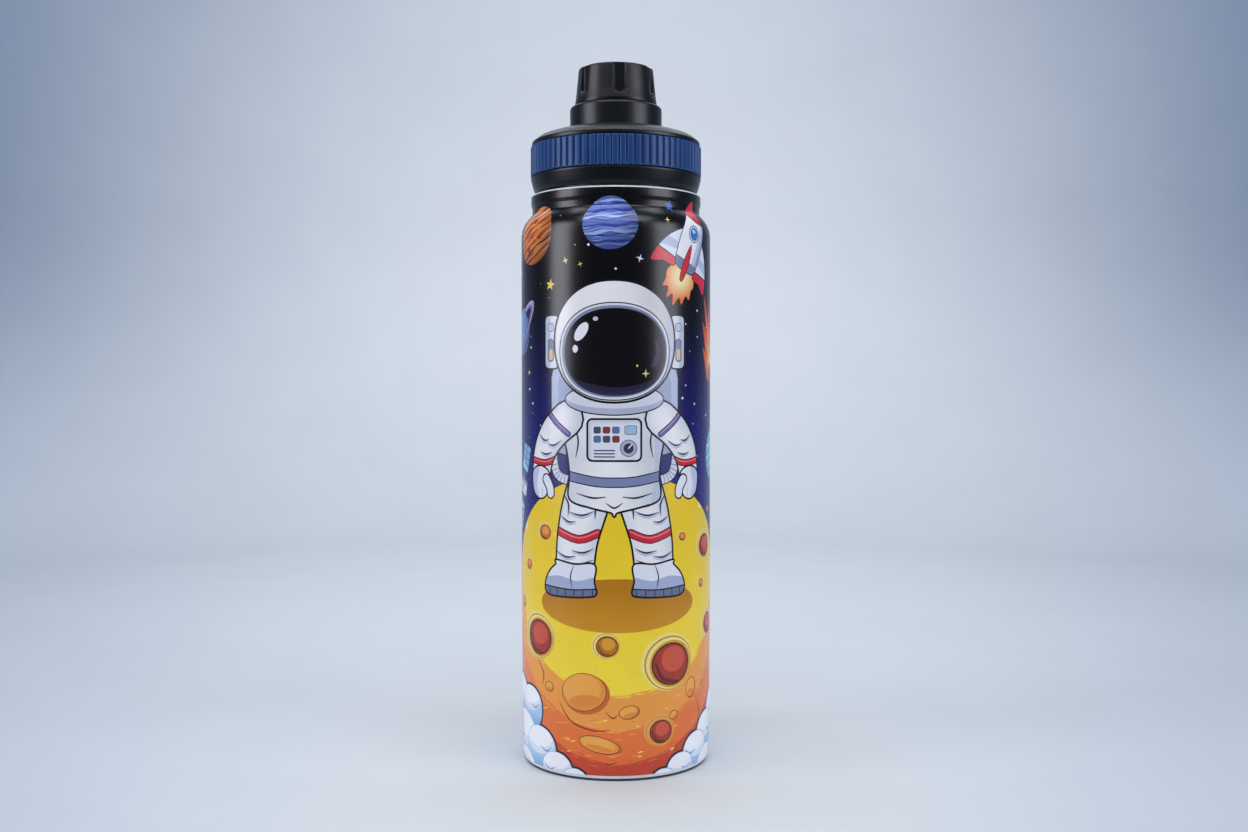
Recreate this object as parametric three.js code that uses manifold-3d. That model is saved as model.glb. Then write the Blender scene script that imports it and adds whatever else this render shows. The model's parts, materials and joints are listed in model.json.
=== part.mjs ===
// Children's insulated water bottle: a double-wall vacuum body, a screw lid with a ribbed grip
// ring, and a drinking spout closed by its own small screw cap.
// Units are millimetres. +Z is up, the bottle stands on z = 0 and its axis is the Z axis.
// The front faces -Y. All outlines are given as [radius, height, fillet radius].

import Module from "manifold-3d";
import * as THREE from "three";
import { mergeVertices } from "three/addons/utils/BufferGeometryUtils.js";

// ---- driving dimensions -------------------------------------------------------------------

const SIDES = 36; // facets round a large turned piece
const SMALL_SIDES = 24; // facets round a small one
const ARC_STEP = Math.PI / 6; // largest turn between two points of a fillet
const FIT = 0.3; // gap left between two pieces that touch

const BODY_RADIUS = 36.5;
const BODY_TOP = 216.7; // the ledge that the lid closes on
const SHELL_WALL = 0.6;
const SHELL_BOTTOM = 0.9;
const SHELL_FOOT_INSIDE = 34.4; // where the shell turns in under the body
const TAPER = { radius: 36.2, height: 8.3 }; // the wall narrows a little below this
const SHOULDER = { start: 190, radius: 36.4, height: 204.9, fillet: 10 };
const BEAD_RADIUS = 32.7; // rolled bead under the lid
const BEAD_FOOT = 213.4;
const GROOVE = { radius: 32.25, bottom: 209.3, top: 211.9 };

const LINER_RADIUS = 33;
const LINER_WALL = 0.5;
const LINER_BOTTOM = 9;
const LINER_SEAM = 11.6; // weld between the liner and its base
const LINER_SHOULDER = { bottom: 196, top: 206.5 };

const NECK_RADIUS = 27.6;
const NECK_WALL = 1;
const NECK_TOP = 231;
const NECK_THREAD = { starts: 2, lead: 8, turns: 0.85, depth: 1.4, foot: 1.7, crest: 0.9 };
const NECK_THREAD_START = 220.4;

const FOOT_RADIUS = 35;
const FOOT_INSIDE = 28.2;
const FOOT_THICKNESS = 0.6;
const BASE_PLATE_HEIGHT = 1.9;
const BASE_RECESS = 2.5;
const BASE_RECESS_RADIUS = 25;
const PORT_RADIUS = 1.5; // hole through which the space between the walls is evacuated
const SEAL_COVER = { radius: 8.5, thickness: 1 };
const GETTER = { radius: 4, height: 2, offset: 14 };

const LID_THREAD_ROOT = 29.4;
const LID_WALL = 0.8;
const LID_BOTTOM = 217.6;
const LID_CEILING = 233.3;
const LID_CEILING_THICKNESS = 1.7;
const LID_SEAL = { inside: 25.6, outside: 29, edge: 0.3 };
const PLUG = { inside: 24, outside: 25.2, bottom: 229.5 }; // skirt that reaches into the neck
const INSULATION = { inside: 16.3, outside: 27.8, thickness: 2.1 };
const DOME_RADIUS = 32.4;
const DOME_EDGE = 235.7;

const GRIP_RADIUS = 32.9;
const GRIP_ROOT = 32.45;
const GRIP_BOTTOM = 224.1;
const GRIP_TOP = 235.4;
const GRIP_RIBS = 72;
const SKIRT = { inside: 29.9, lip: 30.9, radius: 32.8, lipTop: 218.6, shelf: 220.2 };

const COLLAR_RADIUS = 17.7;
const COLLAR_FOOT = 241.9;
const COLLAR_TOP = 251;

const SPOUT_RADIUS = 11.3;
const SPOUT_STEP = 0.9; // how much wider the spout is inside the collar
const SPOUT_BORE = 8.8;
const SPOUT_BOTTOM = 234.2;
const SPOUT_TOP = 262.5;
const SPOUT_FLANGE = { radius: 15.9, bottom: 238.9, top: 240.3 };
const SPOUT_THREAD = { starts: 2, lead: 6, turns: 0.8, depth: 0.9, foot: 1.2, crest: 0.6 };
const SPOUT_THREAD_START = 253.6;
const GASKET_RADIUS = 14.4;

const CAP_RADIUS = 15.8;
const CAP_BOTTOM = 251.4;
const CAP_TOP = 265.8;
const CAP_THREAD_ROOT = 12.6;
const CAP_CEILING = 264.1;
const SLOT_COUNT = 6;
const SLOT_PHASE = THREE.MathUtils.degToRad(6);
const SLOT_WIDTH = 4.8;
const SLOT_FLOOR_RADIUS = 13.4; // distance of a slot's flat back from the axis
const SLOT_BOTTOM = 254;

// ---- finishes -----------------------------------------------------------------------------

const finish = (color, roughness, metalness) =>
  new THREE.MeshStandardMaterial({ color, roughness, metalness });

const finishes = {
  coating: () => finish(0x15161f, 0.45, 0.1),
  steel: () => finish(0xb9bcc0, 0.3, 1),
  solder: () => finish(0x8d8f92, 0.45, 1),
  blackPlastic: () => finish(0x14171d, 0.42, 0),
  bluePlastic: () => finish(0x2b4578, 0.5, 0),
  greyRubber: () => finish(0x54555a, 0.8, 0),
  clearSilicone: () => finish(0xd9dcdd, 0.6, 0),
  foam: () => finish(0xf0efe8, 0.9, 0),
};

// ---- shape helpers ------------------------------------------------------------------------

// Replaces each corner that has a fillet radius by an arc that touches both of its sides.
function rounded(corners) {
  const points = [];
  corners.forEach(([r, z, fillet = 0], i) => {
    const corner = new THREE.Vector2(r, z);
    if (fillet === 0) {
      points.push(corner);
      return;
    }
    const before = corners.at(i - 1);
    const after = corners[(i + 1) % corners.length];
    const back = new THREE.Vector2(before[0] - r, before[1] - z).normalize();
    const ahead = new THREE.Vector2(after[0] - r, after[1] - z).normalize();
    const turn = Math.PI - Math.acos(back.dot(ahead));
    const reach = fillet * Math.tan(turn / 2);
    const start = corner.clone().addScaledVector(back, reach);
    const bisector = back.clone().add(ahead).normalize();
    const centre = corner.clone().addScaledVector(bisector, fillet / Math.cos(turn / 2));
    const sweep = Math.sign(ahead.cross(back)) * turn;
    const steps = Math.max(1, Math.ceil(turn / ARC_STEP));
    for (let k = 0; k <= steps; k += 1) {
      points.push(start.clone().rotateAround(centre, (sweep * k) / steps));
    }
  });
  return points;
}

// Turns an outline round the Z axis. An outline that starts on the axis also ends there;
// any other one is closed on itself.
function revolve(corners, sides = SIDES) {
  const points = rounded(corners);
  const onAxis = corners[0][0] === 0 && corners.at(-1)[0] === 0;
  if (!onAxis) {
    points.push(points[0].clone());
  }
  return new THREE.LatheGeometry(points, sides).rotateX(Math.PI / 2);
}

// A point at a radius, an angle from the front and a height.
function polar(radius, angle, height) {
  return [radius * Math.sin(angle), -radius * Math.cos(angle), height];
}

// One thread ridge: a trapezoid swept along a helix and run out to nothing at both ends.
// The ridge stands on the radius root and rises towards root + depth; a negative depth
// gives the inside thread of a lid.
function ridge({ lead, turns, depth, foot, crest }, root, bottom, phase) {
  const stepsPerTurn = 30;
  const runOut = 2; // steps over which an end grows to full height
  const blunt = 0.3; // part of a step by which both ends start above nothing
  const steps = Math.round(stepsPerTurn * turns);
  const anchor = root - Math.sign(depth) * FIT;
  const positions = [];
  const index = [];
  for (let i = 0; i <= steps; i += 1) {
    const angle = phase + (i / stepsPerTurn) * 2 * Math.PI;
    const height = bottom + (i / stepsPerTurn) * lead;
    const grown = Math.min(1, (Math.min(i, steps - i) + blunt) / runOut);
    const top = root + depth * grown;
    positions.push(...polar(anchor, angle, height - foot / 2));
    positions.push(...polar(top, angle, height - crest / 2));
    positions.push(...polar(top, angle, height + crest / 2));
    positions.push(...polar(anchor, angle, height + foot / 2));
  }
  for (let i = 0; i < steps; i += 1) {
    for (let k = 0; k < 4; k += 1) {
      const a = 4 * i + k;
      const b = 4 * i + ((k + 1) % 4);
      index.push(a, a + 4, b, b, a + 4, b + 4);
    }
  }
  const last = 4 * steps;
  index.push(0, 1, 2, 0, 2, 3, last, last + 2, last + 1, last, last + 3, last + 2);
  if (depth < 0) {
    index.reverse();
  }
  const geometry = new THREE.BufferGeometry();
  geometry.setAttribute("position", new THREE.Float32BufferAttribute(positions, 3));
  geometry.setIndex(index);
  return geometry;
}

// All the ridges of a thread, evenly spaced round the axis.
function thread(form, root, bottom, phase = 0) {
  const ridges = [];
  for (let i = 0; i < form.starts; i += 1) {
    ridges.push(ridge(form, root, bottom, phase + (i * 2 * Math.PI) / form.starts));
  }
  return ridges;
}

// ---- solid joining and cutting ------------------------------------------------------------

const wasm = await Module();
wasm.setup();

function toSolid(geometry) {
  const bare = geometry.clone();
  bare.deleteAttribute("normal");
  bare.deleteAttribute("uv");
  const merged = mergeVertices(bare, 1e-4);
  const corners = merged.index.array;
  const kept = [];
  for (let i = 0; i < corners.length; i += 3) {
    const [a, b, c] = corners.slice(i, i + 3);
    if (a !== b && b !== c && c !== a) {
      kept.push(a, b, c);
    }
  }
  const mesh = new wasm.Mesh({
    numProp: 3,
    vertProperties: new Float32Array(merged.attributes.position.array),
    triVerts: new Uint32Array(kept),
  });
  return new wasm.Manifold(mesh);
}

function toGeometry(solid) {
  const { vertProperties, triVerts } = solid.getMesh();
  const geometry = new THREE.BufferGeometry();
  geometry.setAttribute("position", new THREE.BufferAttribute(vertProperties, 3));
  geometry.setIndex(new THREE.BufferAttribute(triVerts, 1));
  geometry.computeVertexNormals();
  return geometry;
}

function join(base, extras) {
  return toGeometry(extras.reduce((solid, extra) => solid.add(toSolid(extra)), toSolid(base)));
}

function cut(base, cutters) {
  return toGeometry(
    cutters.reduce((solid, cutter) => solid.subtract(toSolid(cutter)), toSolid(base)),
  );
}

// ---- bottle body --------------------------------------------------------------------------

function outerShell() {
  const inside = BODY_RADIUS - SHELL_WALL;
  const straight = 60; // height above which the wall is upright
  const foot = SHELL_FOOT_INSIDE + 1;
  const hole = NECK_RADIUS + FIT;
  const bevel = 0.5;
  return revolve([
    [SHELL_FOOT_INSIDE, SHELL_BOTTOM],
    [foot, SHELL_BOTTOM, 0.4],
    [TAPER.radius, TAPER.height],
    [BODY_RADIUS, straight],
    [BODY_RADIUS, SHOULDER.start],
    [SHOULDER.radius, SHOULDER.height, SHOULDER.fillet],
    [GROOVE.radius, GROOVE.bottom],
    [GROOVE.radius, GROOVE.top],
    [BEAD_RADIUS, BEAD_FOOT],
    [BEAD_RADIUS, BODY_TOP - bevel],
    [BEAD_RADIUS - bevel, BODY_TOP],
    [hole, BODY_TOP],
    [hole, BODY_TOP - SHELL_WALL],
    [BEAD_RADIUS - SHELL_WALL, BODY_TOP - SHELL_WALL],
    [GROOVE.radius - SHELL_WALL, GROOVE.top + 0.2],
    [GROOVE.radius - SHELL_WALL, GROOVE.bottom - 0.2],
    [SHOULDER.radius - SHELL_WALL, SHOULDER.height - 0.3, SHOULDER.fillet - SHELL_WALL],
    [inside, SHOULDER.start],
    [inside, straight],
    [TAPER.radius - SHELL_WALL, TAPER.height],
    [foot - SHELL_WALL, SHELL_BOTTOM + SHELL_WALL],
    [SHELL_FOOT_INSIDE, SHELL_BOTTOM + SHELL_WALL],
  ]);
}

function innerLiner() {
  const inside = LINER_RADIUS - LINER_WALL;
  const bore = NECK_RADIUS - NECK_WALL;
  const lip = 0.3;
  const wall = revolve([
    [inside, LINER_SEAM + FIT],
    [LINER_RADIUS, LINER_SEAM + FIT],
    [LINER_RADIUS, LINER_SHOULDER.bottom],
    [NECK_RADIUS, LINER_SHOULDER.top],
    [NECK_RADIUS, NECK_TOP - lip],
    [NECK_RADIUS - lip, NECK_TOP],
    [bore + lip, NECK_TOP],
    [bore, NECK_TOP - lip],
    [bore, LINER_SHOULDER.top - 0.3],
    [inside, LINER_SHOULDER.bottom - 0.2],
  ]);
  return join(wall, thread(NECK_THREAD, NECK_RADIUS, NECK_THREAD_START));
}

function linerBase() {
  const flat = 27; // radius inside which the base is level
  return revolve([
    [0, LINER_BOTTOM],
    [flat, LINER_BOTTOM],
    [LINER_RADIUS - 1.4, LINER_BOTTOM + 0.9],
    [LINER_RADIUS, LINER_SEAM],
    [LINER_RADIUS - LINER_WALL, LINER_SEAM],
    [LINER_RADIUS - 1.7, LINER_BOTTOM + 1.3],
    [flat, LINER_BOTTOM + LINER_WALL],
    [0, LINER_BOTTOM + LINER_WALL],
  ]);
}

function basePlate() {
  const low = BASE_PLATE_HEIGHT;
  const high = BASE_PLATE_HEIGHT + BASE_RECESS;
  const slant = 0.3; // shifts the upper face so the slope keeps its thickness
  return revolve([
    [PORT_RADIUS, high],
    [BASE_RECESS_RADIUS, high],
    [BASE_RECESS_RADIUS + BASE_RECESS, low],
    [SHELL_FOOT_INSIDE, low],
    [SHELL_FOOT_INSIDE, low + SHELL_WALL],
    [BASE_RECESS_RADIUS + BASE_RECESS + slant, low + SHELL_WALL],
    [BASE_RECESS_RADIUS + slant, high + SHELL_WALL],
    [PORT_RADIUS, high + SHELL_WALL],
  ]);
}

function sealBead() {
  const bottom = BASE_PLATE_HEIGHT + BASE_RECESS;
  const radius = PORT_RADIUS - FIT;
  const facets = 12;
  return revolve(
    [
      [0, bottom],
      [radius, bottom],
      [radius, bottom + 0.8],
      [0, bottom + 1.4],
    ],
    facets,
  );
}

function sealCover() {
  const top = BASE_PLATE_HEIGHT + BASE_RECESS - FIT;
  const bottom = top - SEAL_COVER.thickness;
  const bevel = 0.4;
  return revolve(
    [
      [0, bottom],
      [SEAL_COVER.radius - bevel, bottom],
      [SEAL_COVER.radius, bottom + bevel],
      [SEAL_COVER.radius, top],
      [0, top],
    ],
    SMALL_SIDES,
  );
}

function getter() {
  const { radius, height, offset } = GETTER;
  const facets = 16;
  const floor = BASE_PLATE_HEIGHT + BASE_RECESS + SHELL_WALL + FIT;
  return new THREE.CylinderGeometry(radius, radius, height, facets)
    .rotateX(Math.PI / 2)
    .translate(0, offset, floor + height / 2);
}

function footRing() {
  const hidden = SHELL_FOOT_INSIDE - FIT;
  const top = BASE_PLATE_HEIGHT - FIT;
  const bevel = 0.3;
  return revolve([
    [FOOT_INSIDE, 0],
    [FOOT_RADIUS - bevel, 0],
    [FOOT_RADIUS, bevel],
    [FOOT_RADIUS, FOOT_THICKNESS],
    [hidden, FOOT_THICKNESS],
    [hidden, top],
    [FOOT_INSIDE, top],
  ]);
}

// ---- lid ----------------------------------------------------------------------------------

function lidSeal() {
  const { inside, outside, edge } = LID_SEAL;
  const bottom = NECK_TOP + FIT;
  const top = LID_CEILING - FIT;
  return revolve([
    [inside, bottom + edge],
    [inside + edge, bottom],
    [outside - edge, bottom],
    [outside, bottom + edge],
    [outside, top],
    [inside, top],
  ]);
}

// Radius of the hole through the lid that the spout passes.
const spoutHole = SPOUT_RADIUS + FIT;

function lidInner() {
  const bottom = SKIRT.lipTop + FIT;
  const top = LID_CEILING + LID_CEILING_THICKNESS;
  const wall = revolve([
    [LID_THREAD_ROOT, bottom],
    [LID_THREAD_ROOT + LID_WALL, bottom],
    [LID_THREAD_ROOT + LID_WALL, top],
    [spoutHole, top],
    [spoutHole, LID_CEILING],
    [PLUG.inside, LID_CEILING],
    [PLUG.inside, PLUG.bottom],
    [PLUG.outside, PLUG.bottom],
    [PLUG.outside, LID_CEILING],
    [LID_THREAD_ROOT, LID_CEILING],
  ]);
  const inward = { ...NECK_THREAD, depth: -NECK_THREAD.depth };
  const halfPitch = NECK_THREAD.lead / NECK_THREAD.starts / 2;
  return join(wall, thread(inward, LID_THREAD_ROOT, NECK_THREAD_START + halfPitch));
}

function lidInsulation() {
  const { inside, outside, thickness } = INSULATION;
  const bottom = LID_CEILING + LID_CEILING_THICKNESS + FIT;
  return revolve(
    [
      [inside, bottom],
      [outside, bottom],
      [outside, bottom + thickness],
      [inside, bottom + thickness],
    ],
    SMALL_SIDES,
  );
}

const shellInside = LID_THREAD_ROOT + LID_WALL + FIT;
const shellOutside = shellInside + LID_WALL;

function lidShell() {
  const bottom = SKIRT.shelf + FIT;
  const hole = SPOUT_RADIUS + SPOUT_STEP + FIT;
  const ceiling = SPOUT_FLANGE.top + FIT;
  return revolve([
    [shellInside, bottom],
    [shellOutside, bottom],
    [shellOutside, DOME_EDGE],
    [DOME_RADIUS, DOME_EDGE],
    [DOME_RADIUS, DOME_EDGE + 0.9],
    [DOME_RADIUS - 0.5, DOME_EDGE + 1.4],
    [30, 238.8],
    [27, 240.2],
    [22, 241.3],
    [COLLAR_RADIUS, COLLAR_FOOT],
    [COLLAR_RADIUS, COLLAR_TOP - 1.2],
    [COLLAR_RADIUS - 0.8, COLLAR_TOP],
    [hole, COLLAR_TOP],
    [hole, ceiling],
    [SPOUT_FLANGE.radius + 0.7, ceiling],
    [26.5, 238.9],
    [29.6, 237.2],
    [shellInside, DOME_EDGE + FIT],
  ]);
}

// Lays a closed line of points, alternating between two radii, on a shape or a hole.
function zigzag(line, count, evenRadius, oddRadius) {
  for (let i = 0; i < count; i += 1) {
    const [x, y] = polar(i % 2 === 0 ? evenRadius : oddRadius, (i * 2 * Math.PI) / count, 0);
    if (i === 0) {
      line.moveTo(x, y);
    } else {
      line.lineTo(x, y);
    }
  }
  return line;
}

function gripRing() {
  const inside = shellOutside + FIT;
  const ring = zigzag(new THREE.Shape(), 2 * GRIP_RIBS, GRIP_RADIUS, GRIP_ROOT);
  ring.holes.push(zigzag(new THREE.Path(), GRIP_RIBS, inside, inside));
  const options = { depth: GRIP_TOP - GRIP_BOTTOM, bevelEnabled: false };
  return new THREE.ExtrudeGeometry(ring, options).translate(0, 0, GRIP_BOTTOM);
}

function skirtRing() {
  const inside = shellOutside + FIT;
  const top = GRIP_BOTTOM - FIT;
  return revolve([
    [SKIRT.inside, LID_BOTTOM],
    [SKIRT.lip, LID_BOTTOM],
    [31.75, 219.2],
    [32.35, 221.4],
    [SKIRT.radius, 223],
    [SKIRT.radius, top],
    [inside, top],
    [inside, SKIRT.shelf],
    [shellInside, SKIRT.shelf],
    [shellInside, SKIRT.lipTop],
    [SKIRT.inside, SKIRT.lipTop],
  ]);
}

function spout() {
  const lip = 0.7;
  const tube = revolve(
    [
      [SPOUT_BORE, SPOUT_BOTTOM],
      [SPOUT_RADIUS, SPOUT_BOTTOM],
      [SPOUT_RADIUS, SPOUT_FLANGE.bottom],
      [SPOUT_FLANGE.radius, SPOUT_FLANGE.bottom],
      [SPOUT_FLANGE.radius, SPOUT_FLANGE.top],
      [SPOUT_RADIUS + SPOUT_STEP, SPOUT_FLANGE.top],
      [SPOUT_RADIUS + SPOUT_STEP, COLLAR_TOP],
      [SPOUT_RADIUS, COLLAR_TOP + SPOUT_STEP],
      [SPOUT_RADIUS, SPOUT_TOP - lip],
      [SPOUT_RADIUS - lip, SPOUT_TOP],
      [SPOUT_BORE + lip, SPOUT_TOP],
      [SPOUT_BORE, SPOUT_TOP - lip],
    ],
    SMALL_SIDES,
  );
  return join(tube, thread(SPOUT_THREAD, SPOUT_RADIUS, SPOUT_THREAD_START));
}

function spoutGasket() {
  const bottom = LID_CEILING + LID_CEILING_THICKNESS + FIT;
  const top = SPOUT_FLANGE.bottom - FIT;
  return revolve(
    [
      [spoutHole, bottom],
      [GASKET_RADIUS, bottom],
      [GASKET_RADIUS, top],
      [spoutHole, top],
    ],
    SMALL_SIDES,
  );
}

// ---- spout cap ----------------------------------------------------------------------------

function capSeal() {
  const plug = { radius: SPOUT_BORE - 0.5, length: 2, bevel: 0.3 };
  const disc = CAP_THREAD_ROOT - 1;
  const step = SPOUT_TOP + FIT;
  return revolve(
    [
      [0, step - plug.length],
      [plug.radius - plug.bevel, step - plug.length],
      [plug.radius, step - plug.length + plug.bevel],
      [plug.radius, step],
      [disc, step],
      [disc, CAP_CEILING - FIT],
      [0, CAP_CEILING - FIT],
    ],
    SMALL_SIDES,
  );
}

// The tool that cuts one finger slot: a slab with a round lower end.
function slotCutter(angle) {
  const half = SLOT_WIDTH / 2;
  const outline = new THREE.Shape();
  outline.moveTo(half, CAP_TOP + 1);
  outline.lineTo(-half, CAP_TOP + 1);
  outline.lineTo(-half, SLOT_BOTTOM + half);
  outline.absarc(0, SLOT_BOTTOM + half, half, Math.PI, 2 * Math.PI, false);
  const options = { depth: 4, bevelEnabled: false, curveSegments: 6 };
  return new THREE.ExtrudeGeometry(outline, options)
    .rotateX(Math.PI / 2)
    .translate(0, -SLOT_FLOOR_RADIUS, 0)
    .rotateZ(angle);
}

function spoutCap() {
  const body = revolve([
    [CAP_THREAD_ROOT, CAP_BOTTOM],
    [CAP_RADIUS - 0.3, CAP_BOTTOM],
    [CAP_RADIUS, CAP_BOTTOM + 0.6],
    [15.3, 256],
    [14.5, 263],
    [14.2, 264.7],
    [13.4, CAP_TOP],
    [0, CAP_TOP],
    [0, CAP_CEILING],
    [CAP_THREAD_ROOT, CAP_CEILING],
  ]);
  const cutters = [];
  for (let i = 0; i < SLOT_COUNT; i += 1) {
    cutters.push(slotCutter(SLOT_PHASE + (i * 2 * Math.PI) / SLOT_COUNT));
  }
  const slotted = cut(body, cutters);
  const inward = { ...SPOUT_THREAD, depth: -SPOUT_THREAD.depth };
  const halfPitch = SPOUT_THREAD.lead / SPOUT_THREAD.starts / 2;
  return join(slotted, thread(inward, CAP_THREAD_ROOT, SPOUT_THREAD_START + halfPitch));
}

// ---- assembly -----------------------------------------------------------------------------

function piece(name, geometry, material) {
  const mesh = new THREE.Mesh(geometry, material);
  mesh.name = name;
  return mesh;
}

function assembly(...pieces) {
  const group = new THREE.Group();
  group.add(...pieces);
  return group;
}

const body = assembly(
  piece("outer_shell", outerShell(), finishes.coating()),
  piece("inner_liner", innerLiner(), finishes.steel()),
  piece("liner_base", linerBase(), finishes.steel()),
  piece("base_plate", basePlate(), finishes.steel()),
  piece("vacuum_seal_bead", sealBead(), finishes.solder()),
  piece("seal_cover", sealCover(), finishes.steel()),
  piece("getter", getter(), finishes.solder()),
  piece("foot_ring", footRing(), finishes.greyRubber()),
);

const lid = assembly(
  piece("lid_seal", lidSeal(), finishes.clearSilicone()),
  piece("lid_inner", lidInner(), finishes.blackPlastic()),
  piece("lid_insulation", lidInsulation(), finishes.foam()),
  piece("lid_shell", lidShell(), finishes.blackPlastic()),
  piece("grip_ring", gripRing(), finishes.bluePlastic()),
  piece("skirt_ring", skirtRing(), finishes.blackPlastic()),
  piece("spout", spout(), finishes.blackPlastic()),
  piece("spout_gasket", spoutGasket(), finishes.clearSilicone()),
);

const cap = assembly(
  piece("cap_seal", capSeal(), finishes.clearSilicone()),
  piece("spout_cap", spoutCap(), finishes.blackPlastic()),
);

export default assembly(body, lid, cap);
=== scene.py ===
"""The looks of a child's insulated bottle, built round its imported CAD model.

Outlines are in millimetres, as [radius, height, fillet], and meshes in metres. Angles are
measured round the bottle's axis from its front, which faces -Y, towards +X.
"""

import json
import math
import random

import bpy
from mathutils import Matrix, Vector
from mathutils.geometry import delaunay_2d_cdt


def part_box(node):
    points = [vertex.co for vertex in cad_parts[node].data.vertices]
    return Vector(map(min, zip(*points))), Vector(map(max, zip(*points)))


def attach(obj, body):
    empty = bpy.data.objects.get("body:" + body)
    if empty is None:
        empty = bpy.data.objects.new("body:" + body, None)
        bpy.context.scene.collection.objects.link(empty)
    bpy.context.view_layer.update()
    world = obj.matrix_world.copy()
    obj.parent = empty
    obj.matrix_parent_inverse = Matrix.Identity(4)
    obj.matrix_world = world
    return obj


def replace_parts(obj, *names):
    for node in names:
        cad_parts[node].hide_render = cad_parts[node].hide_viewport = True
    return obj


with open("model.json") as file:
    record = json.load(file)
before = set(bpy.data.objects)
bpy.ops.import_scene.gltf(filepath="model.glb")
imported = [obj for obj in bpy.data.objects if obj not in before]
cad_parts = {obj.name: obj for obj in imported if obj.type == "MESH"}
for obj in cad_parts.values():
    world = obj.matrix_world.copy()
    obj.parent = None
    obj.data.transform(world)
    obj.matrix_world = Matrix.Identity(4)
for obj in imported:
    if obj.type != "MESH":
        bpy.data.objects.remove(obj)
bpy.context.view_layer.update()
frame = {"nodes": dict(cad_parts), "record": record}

MM = 0.001
TAU = 2 * math.pi
ROUND = 192  # columns round a turned piece
ARC_STEP = math.radians(15)  # largest turn between two points of a fillet
SUPPORT = 0.15  # a row this far from a fillet keeps the shading of the flat beside it
SAME = 0.01  # radii and heights closer than this are equal


# ---- Reading the frame ----------------------------------------------------------------------


def span(node):
    """The lowest and highest height of a CAD node, in millimetres."""
    low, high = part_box(node)
    return low.z / MM, high.z / MM


def reach(node):
    """The largest radius of a CAD node, in millimetres."""
    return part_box(node)[1].x / MM


def lead_of(joint):
    """How far a screwed piece rises in one turn, in millimetres."""
    for coupling in frame["record"]["behaviour"]["couplings"]:
        if coupling["joint"] == joint:
            return coupling["ratio"] * TAU / MM
    raise KeyError(joint)


# ---- Turned shapes --------------------------------------------------------------------------


def rounded(corners):
    """Replaces each corner that has a fillet by an arc that touches both of its sides."""
    points = []
    count = len(corners)
    for i, corner in enumerate(corners):
        here = Vector(corner[:2])
        fillet = corner[2] if len(corner) > 2 else 0
        if fillet == 0:
            points.append(here)
            continue
        back = (Vector(corners[i - 1][:2]) - here).normalized()
        ahead = (Vector(corners[(i + 1) % count][:2]) - here).normalized()
        turn = math.pi - back.angle(ahead)
        centre = here + (back + ahead).normalized() * fillet / math.cos(turn / 2)
        start = here + back * fillet * math.tan(turn / 2) - centre
        sweep = math.copysign(turn, ahead.x * back.y - ahead.y * back.x)
        steps = max(2, math.ceil(turn / ARC_STEP))
        for k in range(steps + 1):
            a = sweep * k / steps
            c, s = math.cos(a), math.sin(a)
            points.append(centre + Vector((start.x * c - start.y * s, start.x * s + start.y * c)))
    return points


def supported(points, closed):
    """Adds rows just inside both ends of each long stretch."""
    out = []
    last = len(points) if closed else len(points) - 1
    for i in range(last):
        a, b = points[i], points[(i + 1) % len(points)]
        out.append(a)
        length = (b - a).length
        if length > 4 * SUPPORT:
            share = SUPPORT / length
            out.append(a.lerp(b, share))
            out.append(a.lerp(b, 1 - share))
    if not closed:
        out.append(points[-1])
    return out


def ruled(points, radius, low, high, step):
    """Adds rows, one step apart, to an upright wall of one radius between two heights."""
    out = []
    for i, a in enumerate(points):
        b = points[(i + 1) % len(points)]
        out.append(a)
        upright = abs(a.x - radius) < SAME and abs(b.x - radius) < SAME
        if not upright or abs(a.y - b.y) < step:
            continue
        steps = math.ceil(abs(b.y - a.y) / step)
        rows = [a.lerp(b, k / steps) for k in range(1, steps)]
        out += [row for row in rows if low < row.y < high]
    return out


def mesh_object(name, vertices, faces):
    mesh = bpy.data.meshes.new(name)
    mesh.from_pydata([v * MM for v in vertices], [], faces)
    mesh.validate()
    mesh.update()
    mesh.shade_smooth()
    piece = bpy.data.objects.new(name, mesh)
    bpy.context.scene.collection.objects.link(piece)
    return piece


def polar(radius, angle, height):
    return Vector((radius * math.sin(angle), -radius * math.cos(angle), height))


def turned(name, points, angles=None, shape=None):
    """Turns an outline round the axis. One that starts and ends at radius 0 is closed there, and
    any other one on itself. shape(radius, angle, height) gives a changed radius."""
    angles = angles or [TAU * i / ROUND for i in range(ROUND)]
    columns = len(angles)
    vertices, faces, rows = [], [], []
    for point in points:
        if point.x < 1e-6:
            rows.append([len(vertices)] * columns)
            vertices.append(Vector((0, 0, point.y)))
            continue
        rows.append(range(len(vertices), len(vertices) + columns))
        for angle in angles:
            radius = shape(point.x, angle, point.y) if shape else point.x
            vertices.append(polar(radius, angle, point.y))
    closed = points[0].x > 1e-6
    for i in range(len(rows) if closed else len(rows) - 1):
        near, far = rows[i], rows[(i + 1) % len(rows)]
        for k in range(columns):
            n = (k + 1) % columns
            corners = [near[k], near[n], far[n], far[k]]
            face = list(dict.fromkeys(corners))
            if len(face) > 2:
                faces.append(face)
    return mesh_object(name, vertices, faces)


def lathe(name, corners):
    return turned(name, supported(rounded(corners), corners[0][0] > 0))


# ---- Threads --------------------------------------------------------------------------------

STARTS = 2
RUN_OUT = 0.06  # share of a turn over which a ridge grows to its full height
THREAD_ROW = 0.2  # height between the rows of a threaded wall
NECK_THREAD = {
    "start": 220.4, "lead": lead_of("lid_rise"), "turns": 0.85, "depth": 1.4, "foot": 1.7, "crest": 0.9,
}
SPOUT_THREAD = {
    "start": 253.6, "lead": lead_of("cap_rise"), "turns": 0.8, "depth": 0.9, "foot": 1.2, "crest": 0.6,
}


def smooth(x):
    x = min(1, max(0, x))
    return x * x * (3 - 2 * x)


def first_ridge(form, inward):
    """Where a thread starts: an inner one lies halfway between the ridges of the outer one."""
    return form["start"] + (form["lead"] / STARTS / 2 if inward else 0)


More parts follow.
